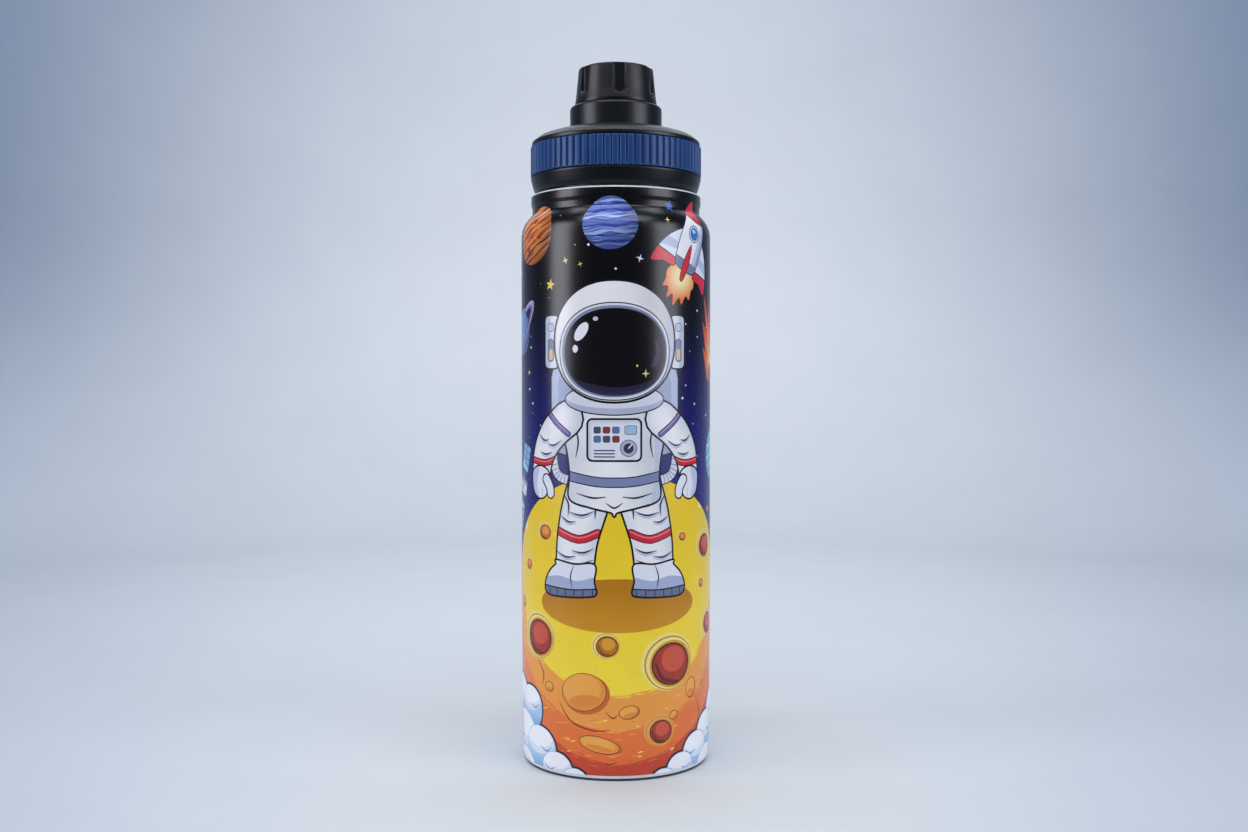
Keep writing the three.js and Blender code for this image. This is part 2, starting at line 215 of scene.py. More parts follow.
def ridge(form, inward, angle, height):
    """How far a thread's ridge stands out from its wall at a place."""
    best = 0
    for start in range(STARTS):
        turn = (angle / TAU - start / STARTS) % 1
        if turn > form["turns"]:
            continue
        off = abs(height - first_ridge(form, inward) - form["lead"] * turn)
        flank = (form["foot"] / 2 - off) / ((form["foot"] - form["crest"]) / 2)
        ends = min(turn, form["turns"] - turn) / RUN_OUT
        best = max(best, smooth(flank) * smooth(ends))
    return best * (-form["depth"] if inward else form["depth"])


def threaded(name, corners, wall, form, inward=False):
    """A turned piece with a thread on its upright wall of that radius."""
    points = supported(rounded(corners), corners[0][0] > 0)
    first = first_ridge(form, inward)
    top = first + form["lead"] * form["turns"] + form["foot"]

    def shape(radius, angle, height):
        on_wall = abs(radius - wall) < SAME
        return radius + (ridge(form, inward, angle, height) if on_wall else 0)

    return turned(name, ruled(points, wall, first - form["foot"], top, THREAD_ROW), shape=shape)


# ---- Materials ------------------------------------------------------------------------------


def linear(code):
    """A web colour code as linear red, green and blue."""
    channels = [int(code[i : i + 2], 16) / 255 for i in (0, 2, 4)]
    return [c / 12.92 if c <= 0.04045 else ((c + 0.055) / 1.055) ** 2.4 for c in channels]


class Look:
    """A material under construction: a Principled shader and the nodes that feed it."""

    def __init__(self, name, **sockets):
        self.material = bpy.data.materials.new(name)
        self.material.use_nodes = True
        self.tree = self.material.node_tree
        self.shader = self.tree.nodes["Principled BSDF"]
        for socket, value in sockets.items():
            self.shader.inputs[socket.replace("_", " ")].default_value = value
        self.place = self.add("ShaderNodeTexCoord").outputs["Object"]

    def add(self, kind, **sockets):
        node = self.tree.nodes.new(kind)
        for socket, value in sockets.items():
            self.join(value, node.inputs[socket.replace("_", " ")])
        return node

    def join(self, value, socket):
        if isinstance(value, bpy.types.NodeSocket):
            self.tree.links.new(value, socket)
        else:
            socket.default_value = value

    def feed(self, socket, value):
        self.join(value, self.shader.inputs[socket])

    def stretched(self, x, y, z):
        """Object coordinates scaled by a factor along each axis."""
        return self.add("ShaderNodeMapping", Vector=self.place, Scale=(x, y, z)).outputs["Vector"]

    def noise(self, size, detail=3.0, place=None):
        """Noise whose features are about size millimetres across, from 0 to 1."""
        node = self.add("ShaderNodeTexNoise", Vector=place or self.place, Detail=detail)
        node.inputs["Scale"].default_value = 1 / (size * MM)
        return node.outputs["Fac"]

    def between(self, low, high, share):
        """A number that runs from low to high as the share goes from a fifth to four fifths."""
        node = self.add("ShaderNodeMapRange", Value=share, To_Min=low, To_Max=high)
        node.inputs["From Min"].default_value = 0.2
        node.inputs["From Max"].default_value = 0.8
        return node.outputs["Result"]

    def ramp(self, value, start, end):
        """A smooth share from 0 at the start to 1 at the end."""
        node = self.add("ShaderNodeMapRange", Value=value)
        node.interpolation_type = "SMOOTHSTEP"
        node.inputs["From Min"].default_value = start
        node.inputs["From Max"].default_value = end
        return node.outputs["Result"]

    def blend(self, first, second, share, mode="MIX"):
        node = self.add("ShaderNodeMix")
        node.data_type = "RGBA"
        node.blend_type = mode
        self.join(share, node.inputs["Factor"])
        colours = [s for s in node.inputs if s.type == "RGBA"]
        for socket, value in zip(colours, (first, second)):
            self.join(value if isinstance(value, bpy.types.NodeSocket) else [*value, 1], socket)
        return [s for s in node.outputs if s.type == "RGBA"][0]

    def bump(self, height, depth, strength, normal=None):
        """Adds relief of about depth millimetres."""
        node = self.add("ShaderNodeBump", Height=height, Distance=depth * MM, Strength=strength)
        if normal:
            self.join(normal, node.inputs["Normal"])
        return node.outputs["Normal"]


def moulded(name, dark, light, roughness):
    """Injection-moulded plastic with a fine spark-eroded grain."""
    look = Look(name, Specular_IOR_Level=0.38)
    cloud = look.noise(9)
    fine = look.noise(0.35, 4)
    look.feed("Base Color", look.blend(linear(dark), linear(light), cloud))
    look.feed("Roughness", look.between(roughness - 0.06, roughness + 0.08, fine))
    relief = look.bump(fine, 0.02, 0.6)
    look.feed("Normal", look.bump(look.noise(6), 0.03, 0.25, relief))
    return look.material


def turned_steel(name, tint, roughness):
    """Steel with fine lines round the axis from turning and polishing."""
    look = Look(name, Metallic=1.0)
    lines = look.noise(1, 2, look.stretched(0.04, 0.04, 6))
    broad = look.noise(14)
    shade = [c * 0.82 for c in linear(tint)]
    look.feed("Base Color", look.blend(shade, linear(tint), broad))
    look.feed("Roughness", look.between(roughness - 0.08, roughness + 0.1, lines))
    look.feed("Normal", look.bump(lines, 0.01, 0.5))
    return look.material


def silicone(name, tint):
    look = Look(name, Subsurface_Weight=0.25, Subsurface_Scale=0.002, Specular_IOR_Level=0.4)
    cloud = look.noise(5)
    fine = look.noise(0.5, 2)
    shade = [c * 0.88 for c in linear(tint)]
    look.feed("Base Color", look.blend(shade, linear(tint), cloud))
    look.feed("Roughness", look.between(0.43, 0.6, fine))
    look.feed("Normal", look.bump(fine, 0.02, 0.4))
    return look.material


def rubber(name, tint):
    look = Look(name, Specular_IOR_Level=0.35)
    fine = look.noise(0.25, 5)
    shade = [c * 0.75 for c in linear(tint)]
    look.feed("Base Color", look.blend(shade, linear(tint), look.noise(4)))
    look.feed("Roughness", look.between(0.68, 0.86, fine))
    look.feed("Normal", look.bump(fine, 0.04, 0.7))
    return look.material


def foam(name):
    look = Look(name, Roughness=0.9)
    cells = look.add("ShaderNodeTexVoronoi", Vector=look.place, Scale=1 / (0.9 * MM))
    look.feed("Base Color", look.blend(linear("D8D5C8"), linear("F4F2EA"), cells.outputs["Distance"]))
    look.feed("Normal", look.bump(cells.outputs["Distance"], 0.2, 0.8))
    return look.material


PRINT = "print_colour"


def printed_coat():
    """Transfer print under a satin coat. The drawing's colours are in the mesh."""
    look = Look("printed_coat", Specular_IOR_Level=0.44)
    ink = look.add("ShaderNodeVertexColor")
    ink.layer_name = PRINT
    grain = look.noise(0.3, 4)
    wash = look.noise(9, 7)
    worn, washed = look.between(0.0, 0.34, grain), look.between(0.0, 0.16, wash)
    dry = look.blend(ink.outputs["Color"], (0.62, 0.6, 0.66), worn, "MULTIPLY")
    look.feed("Base Color", look.blend(dry, (0.6, 0.5, 0.55), washed, "MULTIPLY"))
    look.feed("Roughness", look.between(0.24, 0.3, grain))
    relief = look.bump(grain, 0.006, 0.4)
    look.feed("Normal", look.bump(look.noise(3, 2), 0.01, 0.25, relief))
    return look.material


def finishes():
    return {
        "print": printed_coat(),
        "steel": turned_steel("bare_steel", "C9CBCE", 0.3),
        "base": turned_steel("base_steel", "B9BBBF", 0.4),
        "black": moulded("black_plastic", "05070B", "0C0F15", 0.33),
        "blue": moulded("blue_plastic", "082E62", "0E4684", 0.38),
        "seal": silicone("seal_silicone", "DDE2E4"),
        "rubber": rubber("foot_rubber", "4A4B50"),
        "foam": foam("insulation_foam"),
        "solder": turned_steel("solder", "8D8F92", 0.5),
    }


# ---- The print ------------------------------------------------------------------------------
# The drawing is flat: u runs round the shell from its front, in millimetres, and v is height.
# Each layer is an outline with a colour; a later layer covers an earlier one. A layer with a
# window shows only inside that other layer.

INK = linear("120E16")
layers = []


def mixed(first, second, share):
    return [a + (b - a) * share for a, b in zip(first, second)]


def fading(first, second, start, end):
    """A colour that changes from one height of the drawing to another."""
    a, b = linear(first), linear(second)
    return lambda u, v: mixed(a, b, smooth((v - start) / (end - start)))


def globe(tint, u0, v0, radius, deep=0.45):
    """A colour that darkens from the lit side of a ball to its far side."""
    lit = linear(tint)
    dark = [c * deep for c in lit]

    def colour(u, v):
        off = math.hypot(u - u0 + 0.35 * radius, v - v0 - 0.4 * radius) / radius
        return mixed(lit, dark, smooth((off - 0.45) / 1.1))

    return colour


def paint(outline, colour, window=None):
    """Adds a layer and returns its number, which can be another layer's window."""
    if signed_area(outline) < 0:
        outline = outline[::-1]
    tint = linear(colour) if isinstance(colour, str) else colour
    layers.append((outline, tint, window))
    return len(layers) - 1


def signed_area(outline):
    """Twice the area of an outline, below 0 if it runs clockwise."""
    return sum(a[0] * b[1] - b[0] * a[1] for a, b in zip(outline, outline[1:] + outline[:1]))


def ellipse(u, v, ru, rv=None, tilt=0.0, power=2.0):
    """An ellipse, or with a power above 2 a squarer one."""
    rv = ru if rv is None else rv
    count = max(10, min(72, int(12 + 3.2 * max(ru, rv))))
    points = []
    for i in range(count):
        c, s = math.cos(TAU * i / count), math.sin(TAU * i / count)
        x = ru * math.copysign(abs(c) ** (2 / power), c)
        points.append((x, rv * math.copysign(abs(s) ** (2 / power), s)))
    return placed(u, v, tilt)(points)


def curve(points, closed=True, steps=5):
    """A smooth line through a few points."""
    count = len(points)
    out = []
    for i in range(count if closed else count - 1):
        if closed:
            a, b, c, d = (Vector(points[(i + k) % count]) for k in (-1, 0, 1, 2))
        else:
            a, b, c, d = (Vector(points[min(count - 1, max(0, i + k))]) for k in (-1, 0, 1, 2))
        for k in range(steps):
            t = k / steps
            out.append(0.5 * (2 * b + (c - a) * t + (2 * a - 5 * b + 4 * c - d) * t * t
                              + (3 * b - a - 3 * c + d) * t ** 3))
    if not closed:
        out.append(Vector(points[-1]))
    return [tuple(p) for p in out]


def limb(stations, steps=5):
    """The outline of a thick smooth line with round ends. A station is (u, v, half width)."""
    spine = curve([s[:2] for s in stations], closed=False, steps=steps)
    halves = [h for _, h in curve([(i, s[2]) for i, s in enumerate(stations)], False, steps)]
    left, right = [], []
    for i, point in enumerate(spine):
        before, after = spine[max(0, i - 1)], spine[min(len(spine) - 1, i + 1)]
        way = (Vector(after) - Vector(before)).normalized()
        side = Vector((-way.y, way.x)) * halves[i]
        left.append(Vector(point) + side)
        right.append(Vector(point) - side)

    def cap(centre, start, half):
        first = math.atan2(start.y - centre[1], start.x - centre[0])
        count = 3 if half < 0.6 else 7
        return [(centre[0] + half * math.cos(first - math.pi * k / count),
                 centre[1] + half * math.sin(first - math.pi * k / count))
                for k in range(1, count)]

    front = cap(spine[-1], left[-1], halves[-1])
    back = cap(spine[0], right[0], halves[0])
    return [tuple(p) for p in left] + front + [tuple(p) for p in reversed(right)] + back


def grown(outline, by):
    """The same outline with every side moved out by a distance."""
    count = len(outline)
    sign = 1 if signed_area(outline) > 0 else -1
    out = []
    for i in range(count):
        before, here = Vector(outline[i - 1]), Vector(outline[i])
        after = Vector(outline[(i + 1) % count])
        a, b = (here - before).normalized(), (after - here).normalized()
        normal = Vector((a.y + b.y, -a.x - b.x))
        normal = normal.normalized() if normal.length > 1e-6 else Vector((a.y, -a.x))
        stretch = 1 / max(0.5, normal.dot(Vector((a.y, -a.x))))
        out.append(tuple(here + normal * sign * by * stretch))
    return out


def inked(outline, colour, line=0.5, window=None):
    """A shape with a dark line round it."""
    paint(grown(outline, line), INK, window)
    return paint(outline, colour, window)


def stroke(points, half, colour="16121C", window=None, taper=True):
    """A drawn line that thins towards its ends."""
    last = len(points) - 1
    ends = 0.35 if taper else 1.0
    stations = [(p[0], p[1], half * (ends if i in (0, last) else 1)) for i, p in enumerate(points)]
    return paint(limb(stations), colour, window)


def star(u, v, radius, points=5, depth=0.45, tilt=0.0):
    out = []
    for i in range(2 * points):
        r = radius if i % 2 == 0 else radius * depth
        a = math.pi / 2 + tilt + math.pi * i / points
        out.append((u + r * math.cos(a), v + r * math.sin(a)))
    return out


def box(u, v, width, height, corner):
    """A rectangle with rounded corners."""
    out = []
    for cu, cv, start in ((1, 1, 0), (-1, 1, 1), (-1, -1, 2), (1, -1, 3)):
        for k in range(4):
            a = (start + k / 3) * math.pi / 2
            out.append((u + cu * (width / 2 - corner) + corner * math.cos(a),
                        v + cv * (height / 2 - corner) + corner * math.sin(a)))
    return out


def placed(u, v, tilt=0.0, scale=1.0, side=1):
    """A function that mirrors (side -1), tilts, scales and shifts points or stations."""
    c, s = math.cos(tilt) * scale, math.sin(tilt) * scale

    def moved(points):
        out = []
        for x, y, *half in points:
            out.append((u + side * x * c - y * s, v + side * x * s + y * c, *half))
        return out

    return moved


EDGE = math.pi * reach("outer_shell")  # half the drawing's width
SKY_TOP, SKY_LOW = linear("060508"), linear("1A1C74")


def sky(u, v):
    return mixed(SKY_TOP, SKY_LOW, smooth((180 - v) / 75))


def draw_sky():
    low, high = span("outer_shell")
    paint([(-EDGE - 1, low - 1), (EDGE + 1, low - 1), (EDGE + 1, high + 1), (-EDGE - 1, high + 1)], sky)
    dice = random.Random(7)
    for _ in range(230):
        u, v = dice.uniform(-EDGE + 1, EDGE - 1), dice.uniform(66, 214)
        radius = dice.choice((0.16, 0.2, 0.26, 0.34, 0.45))
        tint = dice.choice(("F4F4FF", "D8E0FF", "FFF3C4", "FFFFFF"))
        paint(ellipse(u, v, radius), tint)
    for u, v, radius, tint in ((-26, 181, 2.2, "F5D544"), (24, 210, 2.3, "3E6FD0"),
                               (-52, 187, 1.8, "F5D544"),
                               (58, 178, 2.0, "E8604C"), (84, 206, 2.0, "F5D544"),
                               (-88, 196, 2.2, "3E6FD0"),
                               (-70, 150, 1.7, "F5D544"), (76, 138, 1.9, "3E6FD0"),
                               (100, 158, 2.1, "F5D544")):
        inked(star(u, v, radius, tilt=0.2 * math.sin(u)), tint, 0.15)
    for u, v, radius, tint in ((-19, 189.5, 1.5, "F2E07A"), (-13, 188, 1.1, "F0CE48"),
                               (9, 190, 1.6, "DDE4FF"),
                               (20.5, 204.5, 1.2, "F2E07A"), (66, 196, 1.5, "F2E07A"),
                               (-64, 203, 1.5, "DDE4FF"),
                               (-98, 176, 1.6, "F2E07A"), (94, 184, 1.4, "DDE4FF"),
                               (-40, 149, 1.3, "F2E07A")):
        paint(star(u, v, radius, points=4, depth=0.28, tilt=0.3 * math.cos(u)), tint)


BELTS = 15


def banded_planet(u, v, ru, rv, tints, tilt, seed, spots=()):
    """A planet with wavy belts and a shaded rim."""
    dice = random.Random(seed)
    at = placed(u, v, tilt)
    disc = inked(ellipse(u, v, ru, rv, tilt), globe(tints[0], u, v, rv), 0.25)
    for i in range(BELTS):
        height = rv * (1.75 * (i + 0.5) / BELTS - 0.875)
        half = rv * dice.uniform(0.02, 0.075)
        phase, wave = dice.uniform(0, TAU), dice.uniform(0.02, 0.05) * rv
        stations = []
        for k in range(9):
            y = height + wave * math.sin(phase + 1.3 * k)
            thick = half * (0.35 + 0.65 * abs(math.sin(phase + 0.8 * k)))
            stations.append((ru * (k / 4 - 1) * 1.02, y, thick))
        paint(limb(at(stations), 4), globe(tints[1 + i % (len(tints) - 1)], u, v, rv), disc)
    for _ in range(int(rv * 3)):
        x, y = dice.uniform(-0.9, 0.9) * ru, dice.uniform(-0.85, 0.85) * rv
        long = dice.uniform(0.8, 2.6)
        flick = [(x - long, y, 0.1), (x, y + dice.uniform(-0.3, 0.3), 0.2), (x + long, y, 0.1)]
        paint(limb(at(flick), 2), globe(dice.choice(tints[1:]), u, v, rv), disc)
    for du, dv, radius in spots:
        paint(ellipse(u + du, v + dv, radius * 1.3, radius, tilt), "7A3216", disc)
        paint(ellipse(u + du + 0.15, v + dv + 0.1, radius * 0.8, radius * 0.55, tilt), "A8501F", disc)


def ringed_planet(u, v, radius, tilt, tints):
    """A planet in front of the far half of its ring and behind the near half."""
    far = ellipse(u, v, radius * 1.9, radius * 0.5, tilt)
    inked(far, tints[2], 0.25)
    paint(ellipse(u, v, radius * 1.68, radius * 0.36, tilt), tints[3])
    paint(ellipse(u, v, radius * 1.5, radius * 0.28, tilt), sky)
    banded_planet(u, v, radius, radius, tints[:2] * 2, tilt, seed=int(abs(u)))
    for scale, half, tint in ((1.79, 0.35, tints[2]), (1.58, 0.22, tints[3])):
        near = []
        for k in range(9):
            a = math.pi * (1 + k / 8)
            y = radius * 0.27 * scale * math.sin(a)
            near.append((radius * scale * math.cos(a), y, half * radius / 7))
        inked(limb(placed(u, v, tilt)(near), 4), tint, 0.15)


def draw_rocket(u, v, tilt, scale, tints):
    """A plain finned rocket with a flame, nose up before it is tilted."""
    at = placed(u, v, tilt, scale)
    flame = [(-4.6, -12), (-7.4, -16), (-6.6, -19), (-6.9, -22), (-4.4, -21.4), (-3.6, -25.5),
             (-1.6, -23), (0.2, -27), (1.8, -23), (4, -25), (4.6, -21), (7, -21.6), (6.6, -18),
             (7.4, -15.6), (4.6, -12)]
    hot, warm = linear("FFF3B0"), linear("F0701C")

    def burning(x, y):
        centre = at([(0, -15.5)])[0]
        return mixed(hot, warm, smooth(math.hypot(x - centre[0], y - centre[1]) / (8.5 * scale) - 0.12))

    outer = paint(at(curve(flame, steps=3)), burning)
    for share in (0.8, 0.6, 0.42, 0.25):
        inner = [(x * share, -15 + (y + 15) * share) for x, y in flame]
        paint(at(curve(inner, steps=3)), burning, outer)
    for side in (-1, 1):
        on = placed(u, v, tilt, scale, side)
        fin = [(5.6, 1.5), (12.6, -5), (15.4, -15), (10.4, -13.4), (4.8, -12)]
        wing = inked(on(curve(fin, steps=4)), "E6ECF8", 0.35)
        paint(on([(5, -4), (16, -4), (16, -8.6), (5, -6.6)]), "BCC8E2", wing)
        paint(on([(4, -10.4), (18, -9), (18, -17), (4, -17)]), tints[0], wing)
        stroke(on([(4, -10.4), (15.4, -9.2)]), 0.22, window=wing, taper=False)
    hull = [(0, 17), (3.8, 11), (6.4, 3), (6.2, -6), (4.4, -12), (-4.4, -12), (-6.2, -6), (-6.4, 3),
            (-3.8, 11)]
    body = inked(at(curve(hull, steps=5)), "F6F8FC", 0.35)
    paint(at([(2.4, 20), (8, 20), (8, -14), (2.2, -14), (3.4, 2)]), "C3CCE4", body)
    paint(at([(4.6, 20), (8, 20), (8, -14), (4.2, -14), (5.4, 2)]), "9DAACB", body)
    paint(at([(-8, 20), (8, 20), (8, 9.4), (0, 8.2), (-8, 9.4)]), tints[0], body)
    paint(at([(2.1, 20), (8, 20), (8, 9.4), (2.4, 8.5)]), tints[1], body)
    stroke(at([(-6, 9.1), (0, 8.1), (6, 9.1)]), 0.2, window=body, taper=False)
    paint(at([(-8, -8.6), (8, -8.6), (8, -14), (-8, -14)]), "7A86A8", body)
    inked(at(ellipse(0, 2.8, 3.1)), "C9D2E6", 0.28)
    inked(at(ellipse(0, 2.8, 2.2)), "3F7FC4", 0.18)
    paint(at(ellipse(-0.6, 3.6, 1.0, 0.7)), "BFE0F8")
    keel = [(0, -2), (1.3, -8.5), (0.8, -16), (-0.8, -16), (-1.3, -8.5)]
    inked(at(curve(keel, steps=3)), tints[0], 0.28)


def draw_comet(u, v, tilt, scale):
    """A burning rock with a ragged tail."""
    at = placed(u, v, tilt, scale)
    tail = [(-5, -1), (-6, 8), (-4.2, 6), (-4.4, 15), (-2.2, 11), (-1.6, 22), (0.6, 13), (2, 19), (3, 9),
            (4.6, 13), (5, -1), (0, -5.4)]
    for across, along, down, tint in ((1, 1, 0, "E4552B"), (0.7, 0.7, 0.6, "F28C3A"),
                                      (0.42, 0.45, 1.2, "FAD27A")):
        paint(at([(x * across, y * along - down) for x, y in tail]), tint)
    rock = inked(at(ellipse(0, -1.4, 3.1)), "8A4B36", 0.25)
    paint(at(ellipse(1.0, -2.4, 1.1, 0.8)), "5E2F24", rock)
    paint(at(ellipse(-1.2, -0.4, 0.7, 0.5)), "5E2F24", rock)


def draw_satellite(u, v, tilt, scale):
    at = placed(u, v, tilt, scale)
    for side in (-1, 1):
        paint(at(box(side * 4.4, 0, 3.6, 0.7, 0.1)), "8D97B8")
        inked(at(box(side * 10, 0, 8.6, 6, 0.3)), "7FB6D8", 0.3)
        for k in range(3):
            paint(at(box(side * (7.9 + 2.1 * k), 0, 0.3, 6, 0.1)), "35506E")
        paint(at(box(side * 10, 0, 8.6, 0.3, 0.1)), "35506E")
        glint = placed(u, v, tilt, scale, side)([(6.2, 2.6), (8.6, 2.6), (6.6, -2.6), (6.2, -2.6)])
        paint(glint, "B9E0F0")
    hull = inked(at(box(0, 0, 5, 7.4, 0.8)), "D5DEEE", 0.3)
    paint(at([(0.9, 5), (3, 5), (3, -5), (0.9, -5)]), "9AA8C6", hull)
    inked(at(curve([(-3, 6.2), (0, 4.2), (3, 6.2), (0, 5.4)], steps=5)), "B7C3DC", 0.25)
    stroke(at([(0, 4.6), (0, 8)]), 0.22)
    paint(at(ellipse(0, 8.2, 0.6)), "E24A3B")
    paint(at(ellipse(-0.8, 1.2, 0.9)), "35506E")


MOON = (1.5, 62, 56, 50, 78)  # centre, half width, and height above and depth below the centre
LOW_GROUND = 36  # height below which the ground of the moon is orange
SQUASH = 0.92  # height of a crater as a share of its width
PITS = {  # inner colour, floor and shade
    "red": ("A8382A", "D0563E", "6E1F1C"),
    "brown": ("B8771C", "E0A030", "8A4A14"),
    "orange": ("D9772A", "F09A48", "8A4A14"),
}


def crater(u, v, radius, kind, window, glow="F3E68A"):
    """A ringed pit: a pale halo, a rim line, and a pit with a lit floor."""
    inner, lit, shade = PITS[kind]
    ring = glow if v > LOW_GROUND else "F0A558"

    def at(points):
        return [(u + x * radius, v + y * radius, *(h * radius for h in half)) for x, y, *half in points]

    for du, dv, size, tint in ((-0.12, 0.1, 1.34, ring), (-0.06, 0.05, 1.26, "C58A22"),
                               (-0.04, 0.04, 1.2, ring), (0.02, 0, 1.1, "D99C28")):
        size *= radius
        paint(ellipse(u + du * radius, v + dv * radius, size, size * SQUASH), tint, window)
    size, line = radius * 0.92, 0.05 * radius + 0.12
    pit = inked(ellipse(u, v, size, size * SQUASH), inner, line, window)
    size = radius * 0.62
    paint(ellipse(u + 0.1 * radius, v + 0.2 * radius, size, radius * 0.6 * SQUASH), lit, pit)
    paint(limb(at([(-0.8, 0.1, 0.05), (-0.45, -0.6, 0.1), (0.3, -0.78, 0.05)])), shade, pit)


def dent(u, v, ru, rv, tilt, window):
    """A shallow hollow in the moon's lower, darker ground."""
    paint(ellipse(u + 0.12 * ru, v - 0.12 * rv, ru * 1.05, rv * 1.08, tilt), "CC6426", window)
    floor = inked(ellipse(u, v, ru, rv, tilt), "E8923A", 0.22, window)
    paint(ellipse(u - ru * 0.08, v + rv * 0.12, ru * 0.88, rv * 0.84, tilt), "F2A94A", floor)
    paint(ellipse(u + ru * 0.05, v - rv * 0.45, ru * 0.7, rv * 0.3, tilt), "E58A38", floor)


def brushed(window, place, count, tints, seed, long=2.2):
    """Loose brush marks; place(share) gives the middle of a mark and the way it runs."""
    dice = random.Random(seed)
    for _ in range(count):
        u, v, way = place(dice.random())
        u, v = u + dice.gauss(0, 0.5), v + dice.gauss(0, 0.7)
        half = dice.uniform(0.4, 1) * long
        du, dv = math.cos(way) * half, math.sin(way) * half
        middle = (u, v + dice.uniform(-0.2, 0.2), dice.uniform(0.14, 0.3))
        mark = [(u - du, v - dv, 0.06), middle, (u + du, v + dv, 0.06)]
        paint(limb(mark, 2), dice.choice(tints), window)


def draw_moon():
    u, v, half, above, below = MOON
    upper = [p for p in ellipse(u, v, half, above) if p[1] >= v]
    lower = [p for p in ellipse(u, v, half, below, power=2.7) if p[1] < v]
    disc = inked(upper + lower, fading("C8442A", "E06C3E", 0, 90), 0.35)
    bands = (
        (61, 57, "E8702F", "EC8C46", 5, 60, ("E87440", "DC5C34")),
        (70, 54, "F09A40", "F6AC4A", 15, 70, ("F29A48", "F6A84C")),
        (79.5, 51, "FBDF3A", "F2CE2C", 30, 110, ("F6BE3A", "FDE04C")),
    )
    for k, (height, size, low, high, start, end, flecks) in enumerate(bands):
        angles = [TAU * i / 90 for i in range(90)]
        edge = [size + 0.5 * math.sin(7 * a + k) + 0.3 * math.sin(19 * a) for a in angles]
        rim = [(u + r * math.cos(a), height + (r - 3) * math.sin(a)) for r, a in zip(edge, angles)]
        paint(rim, fading(low, high, start, end), disc)

        def along(share, height=height, size=size):
            way = math.pi * share
            return u - size * math.cos(way), height - (size - 3) * math.sin(way), way - math.pi / 2

        brushed(disc, along, 80, flecks, k)
    brushed(disc, lambda t: (u - 42 + 84 * t, 50 + 40 * math.sin(40 * t), 0.2), 70,
            ("EFCF2A", "FBEA62"), 9, 1.4)
    brushed(disc, lambda t: (u - 38 + 76 * t, 18 + 8 * math.sin(50 * t), 0.1), 50,
            ("E08044", "F0A050"), 12)
    for du, dv, ru, rv in ((-46, 94, 2.4, 4.6), (38, 100, 3.0, 1.6), (45, 93, 1.6, 2.2),
                           (-36, 103, 3.2, 1.3)):
        paint(ellipse(u + du, dv, ru, rv, 0.4), "F7EC9A", disc)
    craters = (
        ("red", ((-32.8, 50.5, 7.2), (22, 42, 8.6), (17.5, 17.5, 4.7), (42, 84, 4.6), (46, 54, 4.4))),
        ("brown", ((-3, 49.5, 4.0),)),
        ("orange", ((-29, 90, 2.9), (-40, 77, 2.0), (27, 88.5, 1.6), (39, 70, 1.6), (-46, 62, 2.2),
                    (46, 97, 2.0))),
    )
    for kind, places in craters:
        for cu, cv, size in places:
            crater(cu, cv, size, kind, disc)
    dents = ((-12, 32.5, 8.6, 6.8, 0.1), (5, 25.5, 3.6, 2.2, 0.25), (-6, 13.5, 7.6, 2.8, -0.2),
             (32, 32, 2.6, 3.6, -0.25), (-27, 33, 2.0, 1.7, 0), (23, 23, 1.8, 1.4, 0.5))
    for du, dv, ru, rv, tilt in dents:
        dent(du, dv, ru, rv, tilt, disc)
    for line in ([(-22, 28), (-17, 21.5), (-8, 18.6), (-2, 19)], [(-3.5, 25.5), (-1, 23.4), (1, 24.6)],
                 [(-4, 7), (-2, 6.4), (0.6, 7.4)], [(-33, 42), (-30, 37), (-31, 33)],
                 [(36, 26), (38, 22), (37, 18)]):
        stroke(line, 0.3, "8E3418", disc)
    paint(ellipse(u - 0.5, 64.2, 32, 9.8), fading("D0921F", "B97C18", 55, 72), disc)


def draw_far_world():
    """A rust-coloured world on the bottle's far side, drawn once at each edge of the drawing."""
    for side in (-1, 1):
        centre = side * EDGE
        world = inked(ellipse(centre, 30, 44, 42), "B5502C", 0.35)
        paint(ellipse(centre - side * 0.01, 36, 40, 39), "CC6A34", world)
        paint(ellipse(centre, 44, 33, 31), "DD8440", world)
        for du, dv, size in ((-22, 38, 4.2), (-8, 58, 3.0), (-33, 22, 3.0), (-11, 32, 5.4),
                             (-26, 56, 2.2)):
            crater(centre + side * du, dv, size, "red", world, "F0A55A")


def cloud(puffs):
    """A bank of round puffs with one bold outline, white above and blue in their lower folds."""
    for u, v, radius in puffs:
        paint(ellipse(u, v, radius + 0.75, radius + 0.75, power=2.2), INK)
    for i, (u, v, radius) in enumerate(puffs):
        paint(ellipse(u, v, radius, power=2.2), "6D9FD2")
        puff = paint(ellipse(u, v, radius - 0.2, power=2.2),
                     fading("6FA6DA", "BBD8F0", v - radius, v + 0.2 * radius))
        paint(ellipse(u - 0.05 * radius, v + 0.52 * radius, radius, radius * 0.66), "DCEAF7", puff)
        paint(ellipse(u - 0.1 * radius, v + 0.7 * radius, radius * 0.96, radius * 0.56), "F8FAFD", puff)
        side = 1 if i % 2 else -1
        on = placed(u, v, scale=radius, side=side)
        stroke(on([(0.75, 0.25), (0.45, 0.05), (0.1, 0.2)]), 0.3, "5E8FC4", puff)


def draw_clouds():
    banks = (
        ((-51, 25, 9), (-39.5, 23, 8.4), (-46, 9, 12), (-33, 8, 9.4), (-24, 1.6, 7.6),
         (-16, -1.4, 5.6), (-46, -3, 10)),
        ((55, 18, 10), (45, 12, 9), (36, 6.4, 8.4), (27, 1.6, 7), (19, -1.6, 5.4), (46, -1, 9)),
        ((-69, 9, 12), (-82, 11, 9), (-60, 14, 9), (-92, 2, 9)),
        ((69, 10, 12), (82, 12, 9), (61, 5, 9), (92, 3, 9)),
        ((-108, 4, 9), (108, 4, 9), (-101, 0, 7), (101, 0, 7)),
    )
    for puffs in banks:
        cloud(puffs)


